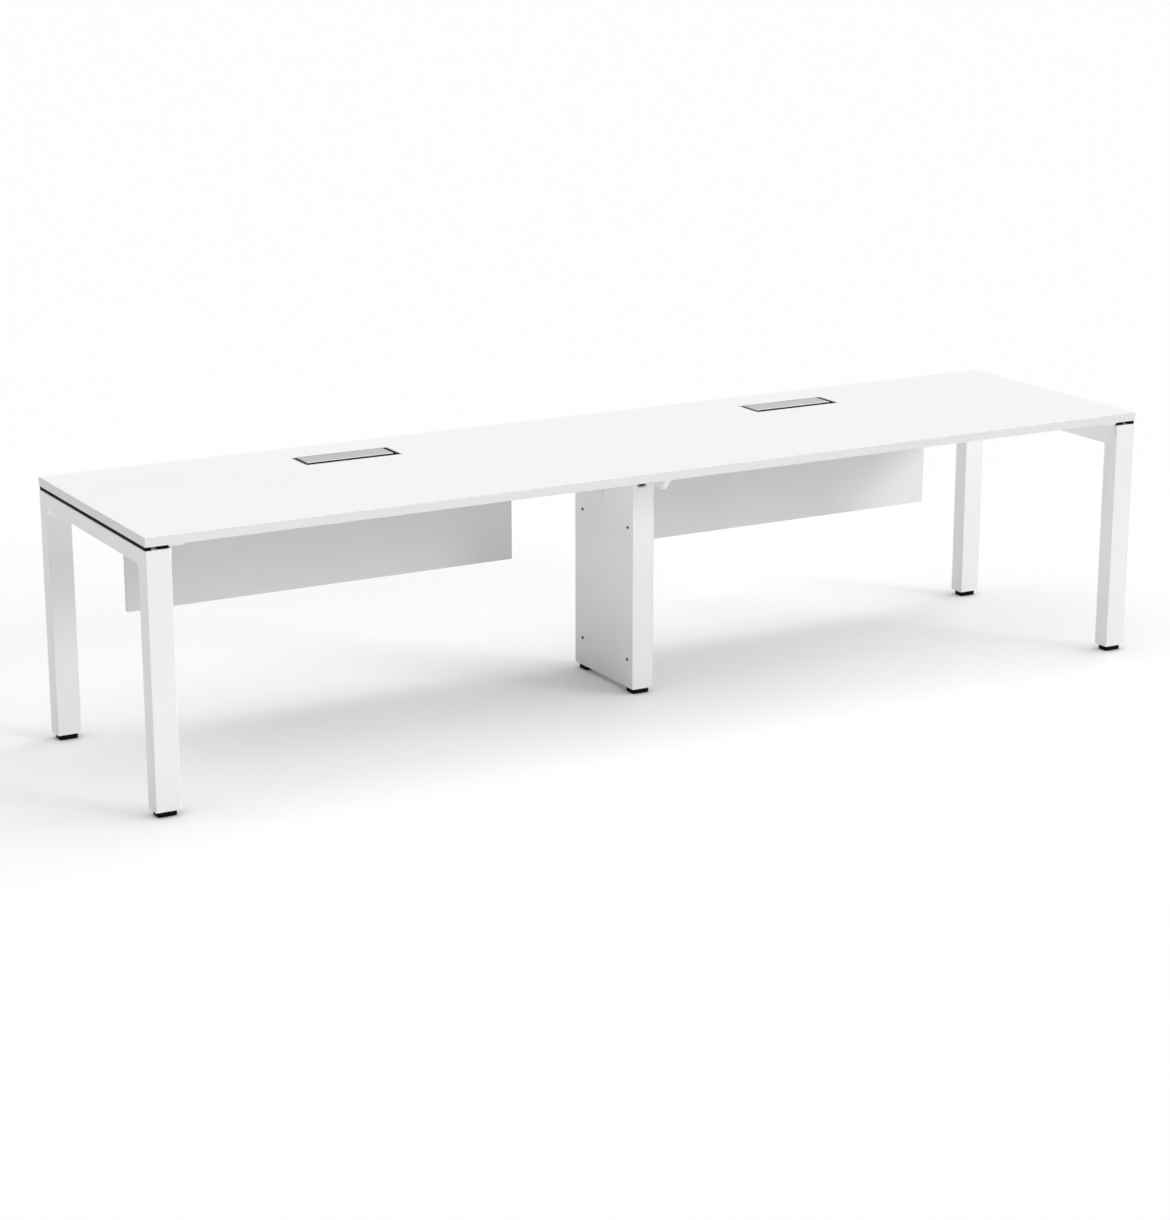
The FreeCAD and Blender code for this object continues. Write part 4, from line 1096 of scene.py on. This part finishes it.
def build_pieces() -> None:
    """Build the pieces that are finer than their CAD nodes."""
    for side, sign in (("left", -1.0), ("right", 1.0)):
        EndFrame(side, sign).build()
        BrushStrip(side).build()
    for name in ("left_front", "left_rear", "right_front", "right_rear", "mid_front", "mid_rear"):
        LevellingFoot(name).build()
    for node, slot in (("mid_cover_screws", "black_steel"), ("top_screws", "zinc_steel"),
                       ("panel_screws", "zinc_steel")):
        FastenerSet(node, Drive.CROSS, head_radius=4.2 * MM, head_height=2.6 * MM, head_round=0.8 * MM,
                    shank_radius=2.0 * MM, recess_width=4.4 * MM, recess_depth=1.3 * MM, slot=slot).build()
    FastenerSet("frame_bolts", Drive.HEX, head_radius=4.6 * MM, head_height=4.0 * MM, head_round=0.8 * MM,
                shank_radius=3.0 * MM, recess_width=4.6 * MM, recess_depth=2.2 * MM).build()


@dataclass(frozen=True)
class Lamp:
    """A broad distant light, with its angles in degrees.

    The azimuth is counted from the sitter's side towards the right end of the desk.
    """

    name: str
    azimuth: float
    elevation: float
    share: float
    spread: float

    def hang(self) -> None:
        """Add the light, so that a white surface facing it gains its share."""
        turn = math.radians(self.azimuth)
        rise = math.radians(self.elevation)
        flat = math.cos(rise)
        towards = Vector((math.sin(turn) * flat, -math.cos(turn) * flat, math.sin(rise)))
        light = bpy.data.lights.new(self.name, "SUN")
        light.energy = math.pi * self.share
        light.angle = math.radians(self.spread)
        lamp = bpy.data.objects.new(self.name, light)
        lamp.rotation_euler = towards.to_track_quat("Z", "Y").to_euler()
        bpy.context.scene.collection.objects.link(lamp)


@dataclass
class Studio:
    """The pale floor, the soft lights and the camera at the photograph's viewing angle."""

    floor_half: float = 40.0
    floor_drop: float = 0.3 * MM
    floor_glow: float = 0.405
    floor_tone: float = 0.55
    floor_gloss: float = 0.04
    floor_roughness: float = 0.12
    # Painted shade: how far and how finely the floor's glow is dimmed near the desk and its feet.
    painted_shade_reach: float = 0.7
    painted_shade_samples: int = 4
    ambient: float = 0.03
    mirrored: float = 0.6
    backdrop: float = 1.0
    camera_place: tuple[float, float, float] = (-4.1088, -7.0730, 2.5135)
    camera_yaw: float = 29.547
    camera_pitch: float = 15.481
    focal_pixels: float = 2883.6
    sensor: float = 36.0
    lamps: tuple[Lamp, ...] = (
        Lamp("top_light", azimuth=0.0, elevation=90.0, share=0.306, spread=60.0),
        Lamp("front_light", azimuth=40.0, elevation=20.0, share=0.296, spread=15.0),
        Lamp("right_front_light", azimuth=60.0, elevation=30.0, share=0.287, spread=35.0),
        Lamp("right_low_light", azimuth=100.0, elevation=30.0, share=0.135, spread=35.0),
        Lamp("right_high_light", azimuth=100.0, elevation=55.0, share=0.222, spread=35.0),
        Lamp("left_front_light", azimuth=-60.0, elevation=55.0, share=0.075, spread=35.0),
        Lamp("left_light", azimuth=-100.0, elevation=55.0, share=0.163, spread=35.0),
    )

    def build(self) -> None:
        """Make the floor, the world, the lights and the camera."""
        self.make_floor()
        self.make_world()
        for lamp in self.lamps:
            lamp.hang()
        self.make_camera()
        bpy.context.scene.view_settings.view_transform = "Standard"

    def make_floor(self) -> None:
        """Lay a plain pale floor that glows, its glow dimmed by painted shade near and under the desk, with
        a faint gloss just under the feet.
        """
        half = self.floor_half
        mesh = bpy.data.meshes.new("floor")
        corners = [(x * half, y * half, -self.floor_drop) for x, y in ((-1, -1), (1, -1), (1, 1), (-1, 1))]
        mesh.from_pydata(corners, [], [(0, 1, 2, 3)])
        floor = put_in_scene("floor", mesh)
        material = bpy.data.materials.new("floor")
        material.use_nodes = True
        sheet = NodeSheet(material.node_tree)
        sheet.tree.nodes.remove(sheet.tree.nodes["Principled BSDF"])
        # Painted shade: ambient occlusion dims the floor's glow under the desk and next to its legs and
        # feet.
        floor_painted_shade = sheet.add("ShaderNodeAmbientOcclusion", {"Distance": self.painted_shade_reach},
                               samples=self.painted_shade_samples)
        strength = sheet.math("MULTIPLY", floor_painted_shade.outputs["AO"], self.floor_glow)
        glow = sheet.add("ShaderNodeEmission", {"Color": (1.0, 1.0, 1.0, 1.0), "Strength": strength})
        matt = sheet.add("ShaderNodeBsdfDiffuse", {"Color": (*grey(self.floor_tone), 1.0)})
        gloss = sheet.add("ShaderNodeBsdfGlossy", {"Color": (*grey(self.floor_gloss), 1.0),
                                                   "Roughness": self.floor_roughness})
        lit = sheet.add("ShaderNodeAddShader", {0: glow.outputs[0], 1: matt.outputs[0]})
        whole = sheet.add("ShaderNodeAddShader", {0: lit.outputs[0], 1: gloss.outputs[0]})
        sheet.feed(sheet.tree.nodes["Material Output"].inputs["Surface"], whole.outputs[0])
        mesh.materials.append(material)

    def make_world(self) -> None:
        """Surround the desk with even light, in front of a white backdrop."""
        world = bpy.data.worlds.new("studio")
        world.use_nodes = True
        bpy.context.scene.world = world
        sheet = NodeSheet(world.node_tree)
        path = sheet.add("ShaderNodeLightPath").outputs
        unseen = sheet.add("ShaderNodeMapRange", {"Value": path["Is Glossy Ray"], "To Min": self.ambient,
                                                  "To Max": self.mirrored})
        level = sheet.add("ShaderNodeMapRange", {"Value": path["Is Camera Ray"], "To Max": self.backdrop,
                                                 "To Min": unseen.outputs["Result"]})
        sheet.feed(world.node_tree.nodes["Background"].inputs["Strength"], level.outputs["Result"])
        world.node_tree.nodes["Background"].inputs["Color"].default_value = (1.0, 1.0, 1.0, 1.0)

    def make_camera(self) -> None:
        """Stand the camera where the photograph's edges say that it stood."""
        data = bpy.data.cameras.new("camera")
        data.sensor_width = self.sensor
        data.lens = self.focal_pixels / max(IMAGE_WIDTH, IMAGE_HEIGHT) * self.sensor
        camera = bpy.data.objects.new("camera", data)
        camera.location = self.camera_place
        camera.rotation_euler = (math.radians(90 - self.camera_pitch), 0.0, math.radians(-self.camera_yaw))
        bpy.context.scene.collection.objects.link(camera)
        bpy.context.scene.camera = camera


def main() -> None:
    """Build the desk's looks and its studio."""
    logging.basicConfig(level=logging.INFO, format="%(name)s: %(message)s")
    dress_frame()
    build_pieces()
    Studio().build()


if __name__ == "__main__":
    main()
